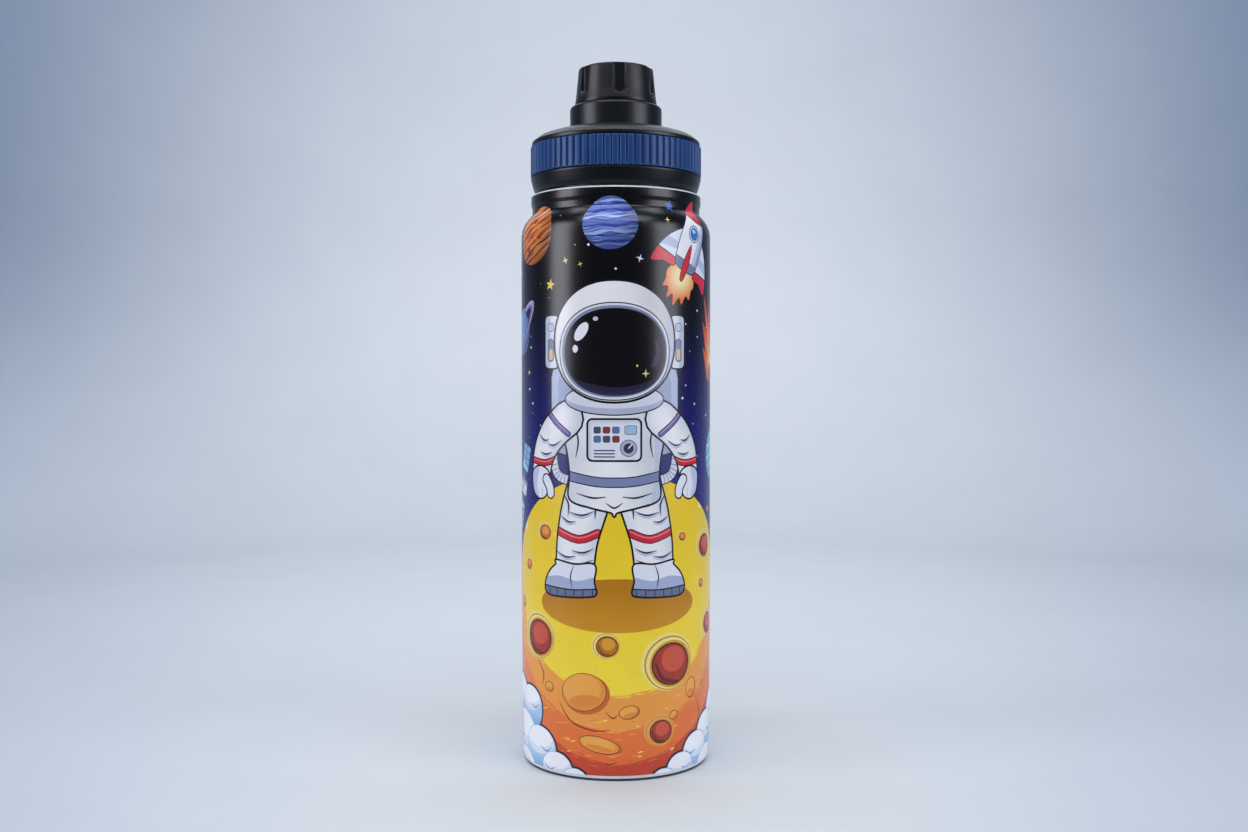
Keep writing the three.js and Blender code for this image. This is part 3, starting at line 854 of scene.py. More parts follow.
SUIT, SUIT_SHADE, GLOVE = "F5F5F6", "C2CCE2", "E9EDF5"
FOLD = "2C3048"
RED, BLUE = "D42C3C", "4A64B0"


def barrel(line, half):
    """The suit's colour, darker away from a smooth line, as paint does round a sleeve."""
    lit = linear(SUIT)
    dark = [c * (0.72 + 0.05 * k) for k, c in enumerate(lit)]
    spine = [Vector(p) for p in curve([p[:2] for p in line], closed=False, steps=3)]

    def colour(u, v):
        off = min((Vector((u, v)) - p).length for p in spine)
        return mixed(lit, dark, smooth(off / half - 0.25))

    return colour


def sleeve(at, stations, bands, creases):
    """An arm or a leg of the suit, with coloured bands and folds."""
    stations = at(stations)
    lead = [(s[0] - 1.2, s[1]) for s in stations]
    shape = inked(limb(stations), barrel(lead, stations[0][2]), 0.75)
    for band, half, tint in bands:
        line = at(band)
        for rise, share, colour in ((0, half + 0.35, INK), (0, half, tint),
                                    (0.4 * half, 0.2 * half, "E9808A")):
            paint(limb([(x, y + rise, share) for x, y in line], 4), colour, shape)
    for crease in map(at, creases):
        halves = [0.15] + [0.6] * (len(crease) - 2) + [0.15]
        soft = [(x, y - 0.7, half) for (x, y), half in zip(crease, halves)]
        paint(limb(soft), SUIT_SHADE, shape)
        stroke(crease, 0.34, FOLD, shape)


def draw_astronaut():
    """A plain round-helmeted astronaut standing at ease, drawn about u = 0 and moved over."""
    middle = -0.4
    at = placed(middle, 0)
    pack = inked(at(box(0, 136, 50, 34, 6)), "B9C4DC", 0.7)
    paint(at(box(0, 133, 44, 34, 5)), "9FABC9", pack)
    for side in (-1, 1):
        on = placed(middle, 0, side=side)
        hose = on([(8, 116), (15, 110), (22.5, 112), (24.5, 122)])
        paint(limb([(*p, 2.0) for p in hose]), INK)
        tube = paint(limb([(*p, 1.6) for p in hose]), "D7DCE8")
        line = curve(hose, closed=False, steps=6)
        for i in range(1, len(line) - 1):
            way = (Vector(line[i + 1]) - Vector(line[i - 1])).normalized() * 2
            across = [(line[i][0] - way.y, line[i][1] + way.x), (line[i][0] + way.y, line[i][1] - way.x)]
            stroke(across, 0.14, "6A7090", tube, taper=False)
        leg = [(8.5, 108, 8.6), (11.8, 98, 8.4), (14.2, 88, 7.8), (15.2, 78, 7.4)]
        band = [(6, 90.6), (13.5, 88.2), (23, 91.4)]
        folds = (
            [(7.5, 98.5), (12, 97), (17, 98)], [(20.5, 96.5), (17.5, 94.5), (14.5, 94.6)],
            [(7.6, 85), (11.5, 83.4), (16, 84)], [(22.4, 83.4), (18.5, 81.6), (14.5, 82)],
            [(16, 103.4), (12, 101), (9, 101.4)], [(8, 80.8), (13, 79.2), (19, 79.8)],
            [(4, 103), (6.6, 99.6), (7, 96)], [(19.6, 105), (17.4, 101), (17.6, 97)])
        sleeve(on, leg, [(band, 1.3, RED)], folds)
        boot = [(7.4, 79), (7.6, 73), (6.8, 68.6), (10, 67.6), (18, 67.2), (26.6, 67.6), (28.2, 71),
                (26, 75.6), (22.8, 78.6), (22.6, 80), (15, 78.8)]
        shoe = inked(on(curve(boot)), "E6EBF4", 0.7)
        paint(on(curve([(6, 74), (14, 73), (22, 74.5), (30, 72), (29, 64), (6, 64)])), "A9B7D2", shoe)
        paint(on([(5, 70.2), (12, 69.6), (20, 69.8), (29, 70.4), (29, 64), (5, 64)]), "6C7694", shoe)
        stroke(on([(5.6, 70.4), (17, 69.7), (29, 70.6)]), 0.25, window=shoe, taper=False)
        stroke(on([(15.2, 78.8), (16.6, 74.6), (16, 70.4)]), 0.25, window=shoe)
        for k in range(6):
            x = 8 + 3.6 * k
            stroke(on([(x, 69.6), (x, 67)]), 0.16, window=shoe, taper=False)
    trunk = [(-17.5, 137), (-19.5, 129), (-17.5, 119), (-16.6, 111), (-16.8, 103), (-9, 100.2),
             (-1.2, 98.4), (0, 97), (1.2, 98.4), (9, 100.2), (16.8, 103), (16.6, 111), (17.5, 119),
             (19.5, 129), (17.5, 137), (0, 140)]
    torso = inked(at(curve(trunk)), barrel([(middle - 2, 140), (middle - 2, 98)], 15), 0.75)
    paint(at(curve([(13, 140), (21, 138), (21, 112), (18, 100), (14, 100), (15, 112), (15, 126)])),
          SUIT_SHADE, torso)
    belt = [(-19, 111.6), (-8, 109.4), (0, 109), (8, 109.4), (19, 111.6)]
    paint(at(limb([(*p, 1.9) for p in belt])), INK, torso)
    paint(at(limb([(*p, 1.5) for p in belt])), "7F8BB0", torso)
    for fold in ([(-14, 105), (-8, 103.4), (-3, 103.8)], [(14, 105), (8, 103.4), (3, 103.8)],
                 [(-15, 130), (-13.4, 124), (-14.4, 118)], [(15, 130), (13.4, 124), (14.4, 118)],
                 [(-3, 101.6), (0, 99.8), (3, 101.6)]):
        stroke(at(fold), 0.36, FOLD, torso)
    for side in (-1, 1):
        on = placed(middle, 0, side=side)
        arm = [(18, 132, 6.2), (24.6, 126.5, 6.0), (29.4, 119.4, 5.5), (31, 112.6, 5.0)]
        cuff = [(22.4, 117.4), (28.6, 115.6), (36.5, 116.6)]
        shoulder = [(17.5, 126.4), (23, 130.6), (27, 135)]
        folds = (
            [(20.5, 124), (24, 122.2), (27, 122.8)], [(31.6, 126), (29, 124), (26.4, 124.2)],
            [(24.8, 119.6), (28, 118.8), (31, 119.6)])
        sleeve(on, arm, [(cuff, 1.0, RED), (shoulder, 0.8, BLUE)], folds)
        palm = [(27, 112.4), (26.6, 107.4), (28.6, 103.4), (32, 102.6), (35, 104.6), (36.2, 109),
                (35.6, 112.6), (31.4, 114.2)]
        glove = inked(on(curve(palm)), GLOVE, 0.65)
        paint(on(curve([(32, 115), (38, 113), (37, 103), (32, 101), (33.4, 107)])), SUIT_SHADE, glove)
        thumb = [(27.8, 109.6, 1.7), (26, 106.8, 1.6), (25.6, 104.4, 1.5)]
        inked(limb(on(thumb)), GLOVE, 0.55)
        for k in range(2):
            x = 30 + 2.3 * k
            stroke(on([(x, 106.4), (x + 0.1, 103)]), 0.18, "4A4E66", glove)
    draw_helmet(at)
    draw_panel(at)


def draw_helmet(at):
    """A round helmet with a wide dark visor and two side lamps."""
    collar = inked(at(ellipse(0, 139, 18.5, 5.4)), "B4BDD3", 0.45)
    paint(at(ellipse(0, 140.2, 18.6, 4.4)), "DCE1EC", collar)
    for side in (-1, 1):
        pod = inked(at(box(side * 25, 160, 6.2, 19, 1.6)), "E6E9F2", 0.65)
        paint(at(box(side * 26.9, 160, 2.4, 19, 0.6)), SUIT_SHADE, pod)
        inked(at(box(side * 25.4, 157, 2.6, 8, 1.0)), "8C93AC", 0.2)
        paint(at(box(side * 25.4, 155.4, 1.7, 4, 0.6)), "EBC98A")
        inked(at(ellipse(side * 25.4, 165.4, 1.5)), "C8D0E2", 0.2)
    shell = inked(at(ellipse(0, 160, 23.2, 21.7, power=2.15)), globe(SUIT, -2, 163, 25, 0.62), 0.8)
    back = [(14, 182), (22, 176), (26, 160), (22, 144), (12, 136), (18.4, 148), (21.6, 160), (19.6, 172)]
    paint(at(curve(back)), SUIT_SHADE, shell)
    chin = [(-24, 150), (-16, 141), (0, 137.4), (16, 141), (24, 150), (20, 136), (0, 131), (-20, 136)]
    paint(at(curve(chin)), "AAB4CE", shell)
    inked(at(ellipse(0, 156.4, 20.9, 17.4, power=2.2)), "DDE3EE", 0.4)
    inked(at(ellipse(0, 156.4, 19.9, 16.4, power=2.2)), "8D93AE", 0.15)
    paint(at(ellipse(0.3, 156.2, 19.4, 15.9, power=2.2)), "34304A")
    glass = paint(at(ellipse(0, 156.6, 18.7, 15.2, power=2.2)), "0B090D")
    gleam = [(-19, 148), (-10, 142.4), (2, 141), (14, 143), (19, 150), (12, 145.4), (1, 143.4), (-10, 145)]
    paint(at(curve(gleam)), "2A2740", glass)
    gleam = [(13.6, 151), (15.6, 156), (15, 161.6), (16.8, 157), (16, 151.6)]
    paint(at(curve(gleam)), "3A3752", glass)
    paint(at(ellipse(-12.2, 163.6, 3.9, 2.0, 0.95)), "F3F4FA", glass)
    paint(at(ellipse(-14.6, 157.4, 1.1, 1.4)), "F3F4FA", glass)
    paint(at(ellipse(-6.8, 168.2, 1.0, 0.8)), "C7CBDD", glass)
    paint(at(star(11.6, 148.4, 1.6, points=4, depth=0.3)), "EAD58A", glass)
    paint(at(ellipse(8.4, 151.2, 0.4)), "EAD58A", glass)


def draw_panel(at):
    """The control box on the chest."""
    plate = inked(at(box(0, 124.4, 19, 14.4, 1.4)), "D3DAE8", 0.75)
    paint(at(box(0.6, 123.8, 18, 13.4, 1.0)), "E4E8F1", plate)
    for row in range(2):
        for column in range(3):
            tint = ("4D5572", "8C3B45", "5E79B4")[column - row]
            inked(at(box(-6.2 + 3.4 * column, 128 - 3.3 * row, 2.3, 2.1, 0.4)), tint, 0.18)
    for k in range(3):
        paint(at(box(-3.6, 120.6 - 1.15 * k, 7.8, 0.5, 0.2)), "4D5572")
    inked(at(ellipse(5.2, 121.4, 2.9)), "AEB8D0", 0.22)
    inked(at(ellipse(5.2, 121.4, 1.7)), "3B4058", 0.15)
    stroke(at([(5.2, 121.4), (6.4, 122.8)]), 0.2, "F0F2F8", taper=False)
    inked(at(box(6, 128, 4.2, 3, 0.5)), "A7C4E4", 0.18)


def draw_far_side():
    ringed_planet(-84, 168, 9, 0.5, ("5E82C8", "3E62AE", "C9A26A", "8B6A4A"))
    banded_planet(84, 186, 11, 10.5, ("C9A15C", "E3C687", "A9763C", "D9B36E"), 0.25, seed=5)
    draw_satellite(94, 128, 0.5, 1.0)
    draw_rocket(-70, 124, 0.55, 0.95, ("2F6FC4", "24549A"))
    draw_comet(-103, 205, -0.7, 0.7)


def draw_print():
    draw_sky()
    draw_far_world()
    banded_planet(-1.9, 203, 10.4, 9.9, ("5B74C4", "93A6E2", "3A4E9E", "7388D2", "2B3A84",
                                         "AFC0EE"), 0.05, seed=3)
    banded_planet(-37, 200, 11.6, 10.8, ("DE7A38", "F4B070", "A84824", "EC9A50", "7E3418"), 0.45, seed=8,
                  spots=((-3, -5, 1.0), (5, -1, 0.8), (1, 5, 0.7)))
    ringed_planet(-48.5, 164, 8.8, 0.75, ("7C9FD8", "5674BE", "B9A6D8", "7A6AA8"))
    banded_planet(54.5, 117.5, 10.4, 10.4, ("6FC0DA", "A6E0EC", "3F94BE", "8CD2E4"), 0.3, seed=11)
    draw_rocket(32.8, 197.6, -0.42, 0.98, ("DC2F40", "9A2436"))
    draw_comet(51, 150, 0.25, 1.35)
    draw_satellite(-47, 106, 1.25, 1.15)
    draw_far_side()
    draw_moon()
    draw_clouds()
    draw_astronaut()


# ---- The body -------------------------------------------------------------------------------

BARE = 2.1  # height below which the shell keeps its white undercoat
WHITE = linear("DDE0E6")
COLUMNS = 160  # columns round the printed shell
PRINT_ROW = 5  # height between the print's rows on the straight part of the wall
STRAIGHT_TOP = 190
PRINT_MARGIN = 0.6  # what the foot and the rim keep clear of the print
SHELL_WALL = 0.6
SHELL_FOOT = 34.4  # inner radius of the shell's foot, where the base plate is welded in
SHELL_MOUTH = 27.9
LINER_RADIUS, LINER_WALL = 33, 0.5
NECK_RADIUS, NECK_WALL = 27.6, 1
FOOT_INSIDE = 28.2  # inner radius of the rubber ring


def shell_outline():
    """The shell's outside from foot to rim, as rounded points."""
    low, high = span("outer_shell")
    radius = reach("outer_shell")
    bead = radius - 3.8
    groove = bead - 0.45
    corners = [
        [SHELL_FOOT, low], [35.5, low, 0.5], [35.92, 4, 12], [36.22, 10, 30], [radius, 60, 60],
        [radius, STRAIGHT_TOP, 60],
        [36.4, 204.9, 10], [groove, 209.3, 1.6], [groove, 211.8, 1.2], [bead, 213.2, 1.4],
        [bead, high, 0.55], [28.2, high],
    ]
    return rounded(corners)[1:-1]


def shell_radius_at(outline, height):
    for a, b in zip(outline, outline[1:]):
        if a.y <= height <= b.y and b.y > a.y:
            return a.lerp(b, (height - a.y) / (b.y - a.y)).x
    return outline[-1].x


def shell_slope_at(outline, height, near=0.35):
    """How fast the radius grows with height, taken from just above and just below."""
    above = shell_radius_at(outline, height + near)
    below = shell_radius_at(outline, height - near)
    return (above - below) / (2 * near)


def triangulated_print(low, high, rows):
    """Cuts the flat drawing into triangles along every outline, column and row.
    Returns their corners and, for each triangle, its colour function or colour."""
    points, lines, shapes = [], [], []

    def add(u, v):
        points.append(Vector((u, v)))
        return len(points) - 1

    for i in range(COLUMNS + 1):
        u = EDGE * (2 * i / COLUMNS - 1)
        lines.append((add(u, low), add(u, high)))
    for v in rows:
        lines.append((add(-EDGE, v), add(EDGE, v)))
    for outline, _, _ in layers:
        shapes.append([add(u, v) for u, v in outline])
    corners, _, triangles, _, _, owners = delaunay_2d_cdt(points, lines, shapes, 0, 1e-5)
    kept, colours = [], []
    for triangle, owner in zip(triangles, owners):
        middle = sum((corners[i] for i in triangle), Vector((0, 0))) / 3
        if abs(middle.x) > EDGE or not low < middle.y < high:
            continue
        inside = set(owner)
        top = max((i for i in inside if layers[i][2] is None or layers[i][2] in inside), default=0)
        kept.append(triangle)
        colours.append(layers[top][1])
    return corners, kept, colours


class Patchwork:
    """Faces that share their corners, with a colour at each corner of each face."""

    def __init__(self):
        self.vertices, self.known, self.faces, self.tints = [], {}, [], []

    def vertex(self, angle, height, radius):
        place = polar(radius, angle, height)
        key = tuple(round(c, 3) for c in place)
        if key not in self.known:
            self.known[key] = len(self.vertices)
            self.vertices.append(place)
        return self.known[key]

    def add(self, face, tints):
        self.faces.append(face)
        self.tints += tints


def add_print(patches, outline, low, high):
    """Bends the flat drawing round the shell."""
    rows = [p.y for p in outline if low + 0.05 < p.y < high - 0.05]
    rows += [PRINT_ROW * k for k in range(1, STRAIGHT_TOP // PRINT_ROW + 1)] + [low, BARE, high]
    corners, triangles, colours = triangulated_print(low, high, sorted(rows))
    radius = reach("outer_shell")
    bent = [
        patches.vertex(c.x / radius, c.y, shell_radius_at(outline, c.y))
        if low - SAME < c.y < high + SAME and abs(c.x) < EDGE + SAME else None
        for c in corners
    ]
    for triangle, colour in zip(triangles, colours):
        face = [bent[i] for i in triangle]
        if None in face or len(set(face)) < 3:
            continue
        bare = sum(corners[i].y for i in triangle) / 3 < BARE
        tint = WHITE if bare else colour
        patches.add(face, [tint(*corners[i]) if callable(tint) else tint for i in triangle])


def add_walls(patches, outline, low, high):
    """The shell's rim, inside and foot, from the print's upper edge round to its lower one."""
    foot, rim = outline[0].y, outline[-1].y
    inside = [Vector((p.x - SHELL_WALL, p.y)) for p in outline if low + 1 < p.y < high - 1]
    points = [Vector((shell_radius_at(outline, high), high))]
    points += [p for p in outline if p.y > high]
    points += [Vector((SHELL_MOUTH, rim)), Vector((SHELL_MOUTH, rim - SHELL_WALL))]
    points += [Vector((inside[-1].x, rim - SHELL_WALL))] + inside[::-1]
    points += [Vector((SHELL_FOOT + 0.3, foot + SHELL_WALL)), Vector((SHELL_FOOT, foot + SHELL_WALL))]
    points.append(Vector((SHELL_FOOT, foot)))
    points += [p for p in outline if p.y < low]
    points.append(Vector((shell_radius_at(outline, low), low)))
    for a, b in zip(points, points[1:]):
        for k in range(COLUMNS):
            left, right = (TAU * (i / COLUMNS - 0.5) for i in (k, k + 1))
            ring = ((left, a), (right, a), (right, b), (left, b))
            patches.add([patches.vertex(angle, p.y, p.x) for angle, p in ring], [WHITE] * 4)


def shell_normals(mesh, outline, low, high):
    """The true normals of the printed face, and none where the mesh's own will do."""
    normals = []
    for vertex in mesh.vertices:
        x, y, z = vertex.co / MM
        across = math.hypot(x, y)
        normal = Vector((0, 0, 0))
        if low - SAME < z < high + SAME and across > shell_radius_at(outline, z) - 0.1:
            normal = Vector((x / across, y / across, -shell_slope_at(outline, z))).normalized()
        normals.append(normal)
    return normals


def outer_shell(looks):
    outline = shell_outline()
    low, high = outline[0].y + PRINT_MARGIN, outline[-1].y - PRINT_MARGIN
    patches = Patchwork()
    add_print(patches, outline, low, high)
    add_walls(patches, outline, low, high)
    piece = mesh_object("printed_shell", patches.vertices, patches.faces)
    colour = piece.data.color_attributes.new(PRINT, "FLOAT_COLOR", "CORNER")
    colour.data.foreach_set("color", [c for tint in patches.tints for c in (*tint, 1)])
    piece.data.normals_split_custom_set_from_vertices(shell_normals(piece.data, outline, low, high))
    dress(piece, looks["print"], "bottle", "outer_shell")


def dress(piece, material, body, node):
    """Gives a piece its material and its body, and hides the CAD node that it stands for."""
    piece.data.materials.append(material)
    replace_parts(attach(piece, body), node)


def inner_liner(looks):
    low, high = span("inner_liner")
    radius, neck = LINER_RADIUS, NECK_RADIUS
    inner, mouth = radius - LINER_WALL, neck - NECK_WALL
    corners = [
        [inner, low], [radius, low], [radius, 196, 6], [neck, 206.5, 4], [neck, high, 0.5],
        [mouth, high, 0.5], [mouth, 206.2, 4], [inner, 195.8, 6],
    ]
    dress(threaded("steel_liner", corners, neck, NECK_THREAD), looks["steel"], "bottle",
          "inner_liner")


def liner_base(looks):
    low, high = span("liner_base")
    radius, inner = LINER_RADIUS, LINER_RADIUS - LINER_WALL
    corners = [
        [0, low], [26, low, 12], [radius, low + 0.4, 2.2], [radius, high], [inner, high],
        [inner, low + 1, 1.7], [26, low + LINER_WALL, 12], [0, low + LINER_WALL],
    ]
    dress(lathe("steel_liner_base", corners), looks["steel"], "bottle", "liner_base")


def base_plate(looks):
    low, high = span("base_plate")
    corners = [
        [1.5, high - 0.6], [16, high - 0.6, 0.3], [16.4, high - 1.0, 0.3], [18, high - 1.0, 0.3],
        [18.4, high - 0.6, 0.3], [25, high - 0.6, 1], [27.5, low, 1], [SHELL_FOOT, low, 0.2],
        [SHELL_FOOT, low + 0.6, 0.2],
        [27.8, low + 0.6, 1], [25.3, high, 1], [1.5, high],
    ]
    dress(lathe("base_disc", corners), looks["base"], "bottle", "base_plate")


def seal_cover(looks):
    low, high = span("seal_cover")
    corners = [[0, low + 0.25], [5.6, low + 0.25, 0.2], [6, low, 0.2], [8.2, low, 0.3],
               [8.5, low + 0.4, 0.2],
               [8.5, high, 0.1], [0, high]]
    dress(lathe("seal_disc", corners), looks["base"], "bottle", "seal_cover")


def foot_ring(looks):
    low, high = span("foot_ring")
    radius = reach("foot_ring")
    corners = [[FOOT_INSIDE, low, 0.3]]
    for groove in (29.8, 31.2, 32.6):
        corners += [[groove - 0.3, low, 0.1], [groove - 0.15, low + 0.3, 0.1],
                    [groove + 0.15, low + 0.3, 0.1],
                    [groove + 0.3, low, 0.1]]
    corners += [[radius, low, 0.28], [radius, low + 0.6, 0.12], [34.1, low + 0.6, 0], [34.1, high, 0.2],
                [FOOT_INSIDE, high, 0.3]]
    dress(lathe("foot_ring_rubber", corners), looks["rubber"], "bottle", "foot_ring")


# ---- The lid --------------------------------------------------------------------------------


def lid_seal(looks):
    low, high = span("lid_seal")
    radius = reach("lid_seal")
    corners = [
        [25.6, low, 0.5], [26.9, low, 0.15], [27.1, low + 0.25, 0.1], [27.5, low + 0.25, 0.1],
        [27.7, low, 0.15],
        [radius, low, 0.5], [radius, high, 0.4], [25.6, high, 0.4],
    ]
    dress(lathe("lid_seal_ring", corners), looks["seal"], "lid_carrier", "lid_seal")


def lid_inner(looks):
    low, high = span("lid_inner")
    radius = reach("lid_inner")
    root = radius - 0.8
    ceiling = high - 1.7
    corners = [
        [root, low, 0.3], [radius, low, 0.2], [radius, high, 0.5], [11.6, high, 0.3],
        [11.6, ceiling, 0.3],
        [24, ceiling, 0.5], [24, ceiling - 3.8, 0.4], [25.2, ceiling - 3.8, 0.4], [25.2, ceiling, 0.3],
        [root, ceiling, 0.3],
    ]
    dress(threaded("lid_thread_insert", corners, root, NECK_THREAD, inward=True), looks["black"],
          "lid", "lid_inner")


def lid_shell(looks):
    low, high = span("lid_shell")
    edge = reach("lid_shell")
    inside, outside = 30.5, 31.3
    overhang = 235.7
    corners = [
        [inside, low, 0.2], [outside, low, 0.2], [outside, overhang, 0.2], [edge, overhang, 0.15],
        [edge, 237.1, 0.6], [29.8, 239.2, 6], [24, 241.1, 12], [17.7, 241.9, 0.35], [17.7, high, 1.0],
        [12.5, high, 0.4], [12.5, 240.6, 0.3], [16.6, 240.6], [26.5, 238.9, 4], [29.6, 237.2, 2],
        [inside, 236],
    ]
    dress(lathe("lid_dome", corners), looks["black"], "lid", "lid_shell")


RIBS = 72
RIB_DEPTH = 0.6
RIB_ROW = 0.35  # height between the ring's rows
RIB_COLUMNS = 12  # columns to each rib


def grip_ring(looks):
    """A ring with rounded ribs; narrow grooves between them run out at both edges."""
    low, high = span("grip_ring")
    radius = reach("grip_ring")
    inside = 31.6
    corners = [[inside, low, 0.15], [radius, low, 0.45], [radius, high, 0.45], [inside, high, 0.15]]
    points = ruled(supported(rounded(corners), True), radius, low, high, RIB_ROW)

    def shape(r, angle, height):
        if r < radius - 0.5:
            return r
        across = abs((angle * RIBS / TAU) % 1 - 0.5) * 2
        groove = smooth((0.36 - across) / 0.22)
        swell = 0.1 * (1 - across) ** 2
        ends = smooth(min(height - low, high - height) / 0.7)
        return r - (RIB_DEPTH * groove + swell) * (0.3 + 0.7 * ends)

    columns = RIBS * RIB_COLUMNS
    piece = turned("grip_ring_ribbed", points, [TAU * i / columns for i in range(columns)], shape)
    dress(piece, looks["blue"], "lid", "grip_ring")


def skirt_ring(looks):
    low, high = span("skirt_ring")
    radius = reach("skirt_ring")
    corners = [
        [29.9, low, 0.2], [30.9, low, 0.25], [31.75, low + 1.6, 3], [32.35, low + 3.8, 8],
        [radius, low + 5.6, 0.8],
        [radius, high, 0.2], [31.6, high, 0.2], [31.6, low + 2.6, 0.1], [30.5, low + 2.6, 0.2],
        [30.5, low + 1, 0.1], [29.9, low + 1, 0.2],
    ]
    dress(lathe("skirt_ring_black", corners), looks["black"], "lid", "skirt_ring")


def spout(looks):
    low, high = span("spout")
    wall, bore = 11.3, 8.8
    corners = [
        [bore, low, 0.4], [wall, low, 0.4], [wall, 238.9, 0.2], [15.9, 238.9, 0.2], [15.9, 240.3, 0.2],
        [12.2, 240.3, 0.2], [12.2, 251.2, 0.4], [wall, 252.2, 0.4], [wall, high, 0.8], [bore, high, 0.8],
    ]
    dress(threaded("drinking_spout", corners, wall, SPOUT_THREAD), looks["black"], "lid", "spout")


def spout_gasket(looks):
    low, high = span("spout_gasket")
    corners = [[11.6, low, 0.6], [14.4, low, 0.6], [14.4, high, 0.6], [11.6, high, 0.6]]
    dress(lathe("spout_gasket_ring", corners), looks["seal"], "lid", "spout_gasket")


# ---- The spout cap --------------------------------------------------------------------------

SLOTS = 6
SLOT_PHASE = math.radians(6)
SLOT_HALF = 2.7
SLOT_BACK = 13.4
SLOT_BOTTOM = 254
SLOT_EDGE = 0.6  # width of a slot's slanted, rounded sides
SLOT_ROW = 0.2  # length between the rows of the slotted wall
CAP_CEILING = 264.1
CAP_ROOT = 12.6  # radius of the wall between the ridges of its thread
CAP_ROWS_BELOW, CAP_ROWS_ABOVE = 1, 7  # reach of the close rows from the start of its thread


def cap_seal(looks):
    low, high = span("cap_seal")
    radius = reach("cap_seal")
    corners = [[0, low], [8.3, low, 0.6], [8.3, low + 2, 0.2], [radius, low + 2, 0.3],
               [radius, high, 0.2], [0, high]]
    dress(lathe("cap_seal_plug", corners), looks["seal"], "cap_carrier", "cap_seal")


def cap_columns():
    """Angles round the cap, close together across each slot."""
    angles = []
    slot = math.asin(SLOT_HALF / SLOT_BACK) + math.radians(2)
    for i in range(SLOTS):
        middle = SLOT_PHASE + TAU * i / SLOTS
        angles += [middle + slot * (k / 17) for k in range(-17, 18)]
        gap = TAU / SLOTS - 2 * slot
        angles += [middle + slot + gap * k / 8 for k in range(1, 8)]
    return angles


def cap_outline():
    """The cap's outside and inside, with close rows where the slots are."""
    low, high = span("spout_cap")
    radius = reach("spout_cap")
    corners = [
        [CAP_ROOT, low, 0.3], [radius - 0.15, low, 0.3], [radius, low + 0.9, 1.5], [15.3, 256, 20],
        [14.35, high, 0.75], [8, high], [0, high], [0, CAP_CEILING], [CAP_ROOT, CAP_CEILING, 0.5],
    ]
    points = supported(rounded(corners), False)
    out = []
    for a, b in zip(points, points[1:]):
        out.append(a)
        slotted = min(a.y, b.y) > SLOT_BOTTOM - 4 and min(a.x, b.x) > SLOT_BACK - 1
        steps = math.ceil((b - a).length / (SLOT_ROW if slotted else 9))
        out += [a.lerp(b, k / steps) for k in range(1, steps)]
    out.append(points[-1])
    first = first_ridge(SPOUT_THREAD, True)
    return ruled(out, CAP_ROOT, first - CAP_ROWS_BELOW, first + CAP_ROWS_ABOVE, THREAD_ROW)


def cap_shape(radius, angle, height):
    """The cap's radius with its inner thread and its slots."""
    if abs(radius - CAP_ROOT) < SAME:
        return radius + ridge(SPOUT_THREAD, True, angle, height)
    turn = (angle - SLOT_PHASE + TAU / SLOTS / 2) % (TAU / SLOTS) - TAU / SLOTS / 2
    back = SLOT_BACK / math.cos(turn)
    if radius <= back:
        return radius
    across = radius * math.sin(turn)
    below = SLOT_BOTTOM + SLOT_HALF - height
    off = math.hypot(across, below) if below > 0 else abs(across)
    return radius + (back - radius) * smooth((SLOT_HALF - off) / SLOT_EDGE)


def spout_cap(looks):
    piece = turned("ribbed_spout_cap", cap_outline(), cap_columns(), cap_shape)
    dress(piece, looks["black"], "cap", "spout_cap")


# ---- Hidden pieces that keep their CAD shape ------------------------------------------------


def dress_node(node, material):
    mesh = frame["nodes"][node].data
    mesh.materials.clear()
    mesh.materials.append(material)


# ---- Stage ----------------------------------------------------------------------------------

STAGE_RADIUS, STAGE_BEND, STAGE_TOP = 1060, 340, 1600
BEND_STEPS = 40
EYE = (0.00313, -0.5051, 0.1439)  # where the camera stands
LENS, SENSOR = 37.5, 36
LOOK_DOWN = 1.32  # degrees
# The side colours and SHADE are painted shade: darker paper towards the sides and behind the camera.
FLOOR, FLOOR_SIDE_SHADE = "CED2D3", "B0B8C2"
WALL, WALL_SIDE_SHADE = "DDDFE0", "76859A"
SHADE = "4A525E"
FLOOR_TO_WALL = 0, 0.3  # heights in metres between which the floor's colour gives way to the wall's
TO_SIDE_SHADE = 0.1, 0.62  # distance from the axis over distance from the camera, for the side's painted shade
TO_SHADE, BEHIND = (0.5, 1.4), (-0.12, -0.4)  # the same for the painted shade, and Y behind the camera, where painted shade darkens the paper


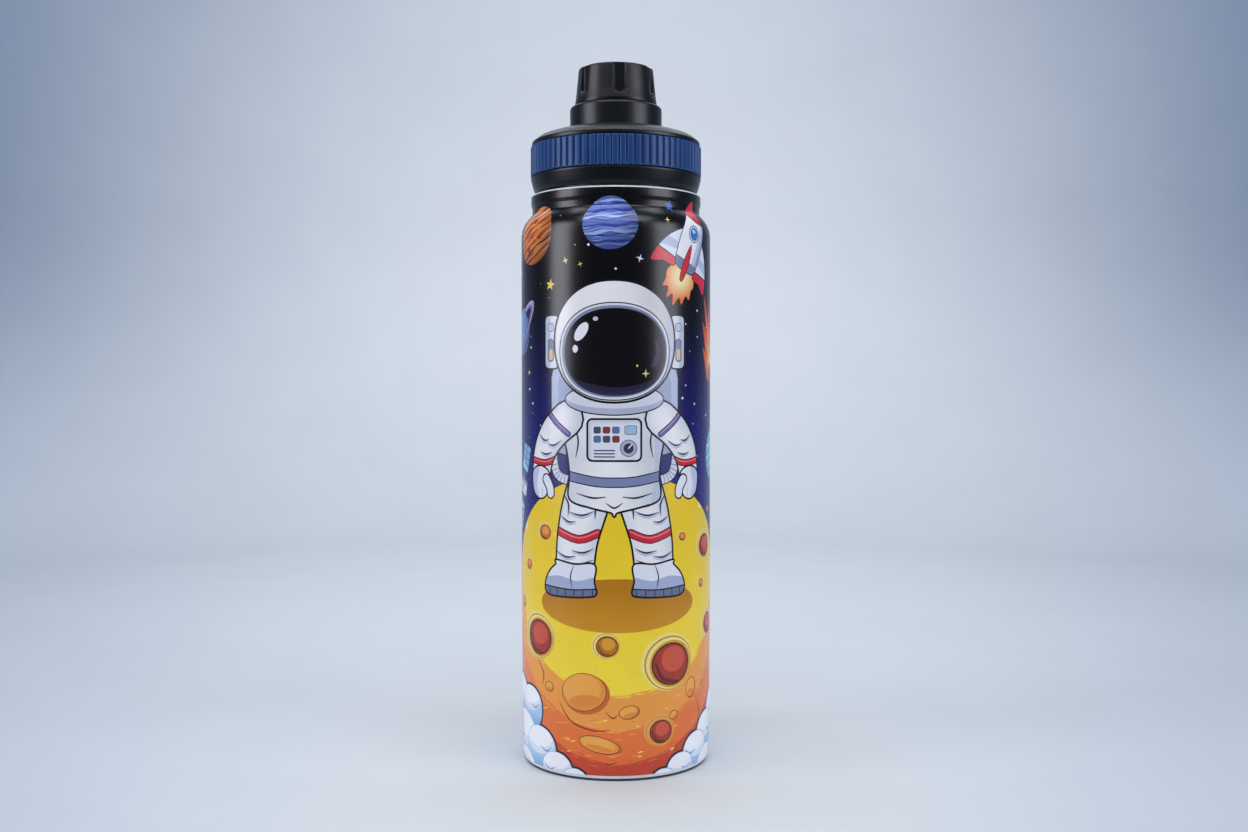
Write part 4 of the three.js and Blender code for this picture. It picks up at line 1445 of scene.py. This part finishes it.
def stage():
    """A pale round floor that curves up into a wall, with painted shade to the sides and behind the
    camera.
    """
    profile = [Vector((0, 0))]
    for k in range(BEND_STEPS + 1):
        a = math.pi / 2 * k / BEND_STEPS
        profile.append(Vector((STAGE_RADIUS - STAGE_BEND * (1 - math.sin(a)),
                               STAGE_BEND * (1 - math.cos(a)))))
    profile.append(Vector((STAGE_RADIUS, STAGE_TOP)))
    sweep = turned("studio_sweep", profile)
    look = Look("studio_paper_painted_shade", Roughness=0.9, Specular_IOR_Level=0.2)
    axes = look.add("ShaderNodeSeparateXYZ", Vector=look.place).outputs
    aside = look.add("ShaderNodeVectorMath", Vector=look.stretched(1, 0, 0.6))
    aside.operation = "LENGTH"
    ahead = look.add("ShaderNodeMath", Value=axes["Y"])
    ahead.inputs[1].default_value = -EYE[1]
    slant = look.add("ShaderNodeMath", Value=aside.outputs["Value"])
    slant.operation = "DIVIDE"
    look.join(ahead.outputs["Value"], slant.inputs[1])
    slant = slant.outputs["Value"]
    up = look.ramp(axes["Z"], *FLOOR_TO_WALL)
    # painted shade: the floor and wall darken towards the sides
    side = look.blend(linear(FLOOR_SIDE_SHADE), linear(WALL_SIDE_SHADE), up)
    middle = look.blend(linear(FLOOR), linear(WALL), up)
    paper = look.blend(middle, side, look.ramp(slant, *TO_SIDE_SHADE))
    # painted shade: darker still at the far sides and behind the camera
    for share in (look.ramp(slant, *TO_SHADE), look.ramp(axes["Y"], *BEHIND)):
        paper = look.blend(paper, linear(SHADE), share)
    look.feed("Base Color", look.blend(paper, (0.93, 0.93, 0.95), look.noise(60), "MULTIPLY"))
    sweep.data.materials.append(look.material)


def area_light(name, place, aim, width, height, power, tint):
    data = bpy.data.lights.new(name, "AREA")
    data.shape = "RECTANGLE"
    data.size, data.size_y = width, height
    data.energy = power
    data.color = linear(tint)
    lamp = bpy.data.objects.new(name, data)
    lamp.location = place
    lamp.rotation_euler = (Vector(aim) - Vector(place)).to_track_quat("-Z", "Y").to_euler()
    bpy.context.scene.collection.objects.link(lamp)


def lighting():
    middle, lid = (0, 0, 0.13), (0, 0, 0.25)
    area_light("left_box", (-0.84, -0.33, 0.39), lid, 0.4, 0.62, 5.0, "F3F3FF")
    area_light("right_box", (0.82, -0.42, 0.39), lid, 0.5, 0.62, 4.9, "F0F2FF")
    area_light("key_box", (0, -0.62, 1.0), middle, 1.4, 0.45, 8.0, "F8FCFF")
    area_light("wall_box", (0, 0.2, 1.3), (0, 1.06, 0.45), 1.2, 0.5, 9.5, "F0F6FF")
    area_light("top_box", (0, 0.62, 0.9), lid, 1.2, 0.45, 2.4, "F0F6FF")
    world = bpy.data.worlds.new("studio")
    world.use_nodes = True
    background = world.node_tree.nodes["Background"]
    background.inputs["Color"].default_value = [*linear("DCE4F0"), 1]
    background.inputs["Strength"].default_value = 0.05
    bpy.context.scene.world = world


def camera():
    data = bpy.data.cameras.new("camera")
    data.lens, data.sensor_width = LENS, SENSOR
    data.clip_start, data.clip_end = 0.01, 20
    view = bpy.data.objects.new("camera", data)
    view.location = EYE
    view.rotation_euler = (math.radians(90 - LOOK_DOWN), 0, 0)
    bpy.context.scene.collection.objects.link(view)
    bpy.context.scene.camera = view


# ---- Everything -----------------------------------------------------------------------------

looks = finishes()
camera()
draw_print()
for build in (
    outer_shell, inner_liner, liner_base, base_plate, seal_cover, foot_ring, lid_seal, lid_inner,
    lid_shell, grip_ring, skirt_ring, spout, spout_gasket, cap_seal, spout_cap,
):
    build(looks)
for node, finish in (("vacuum_seal_bead", "solder"), ("getter", "solder"), ("lid_insulation", "foam")):
    dress_node(node, looks[finish])
stage()
lighting()
bpy.context.scene.view_settings.view_transform = "Standard"
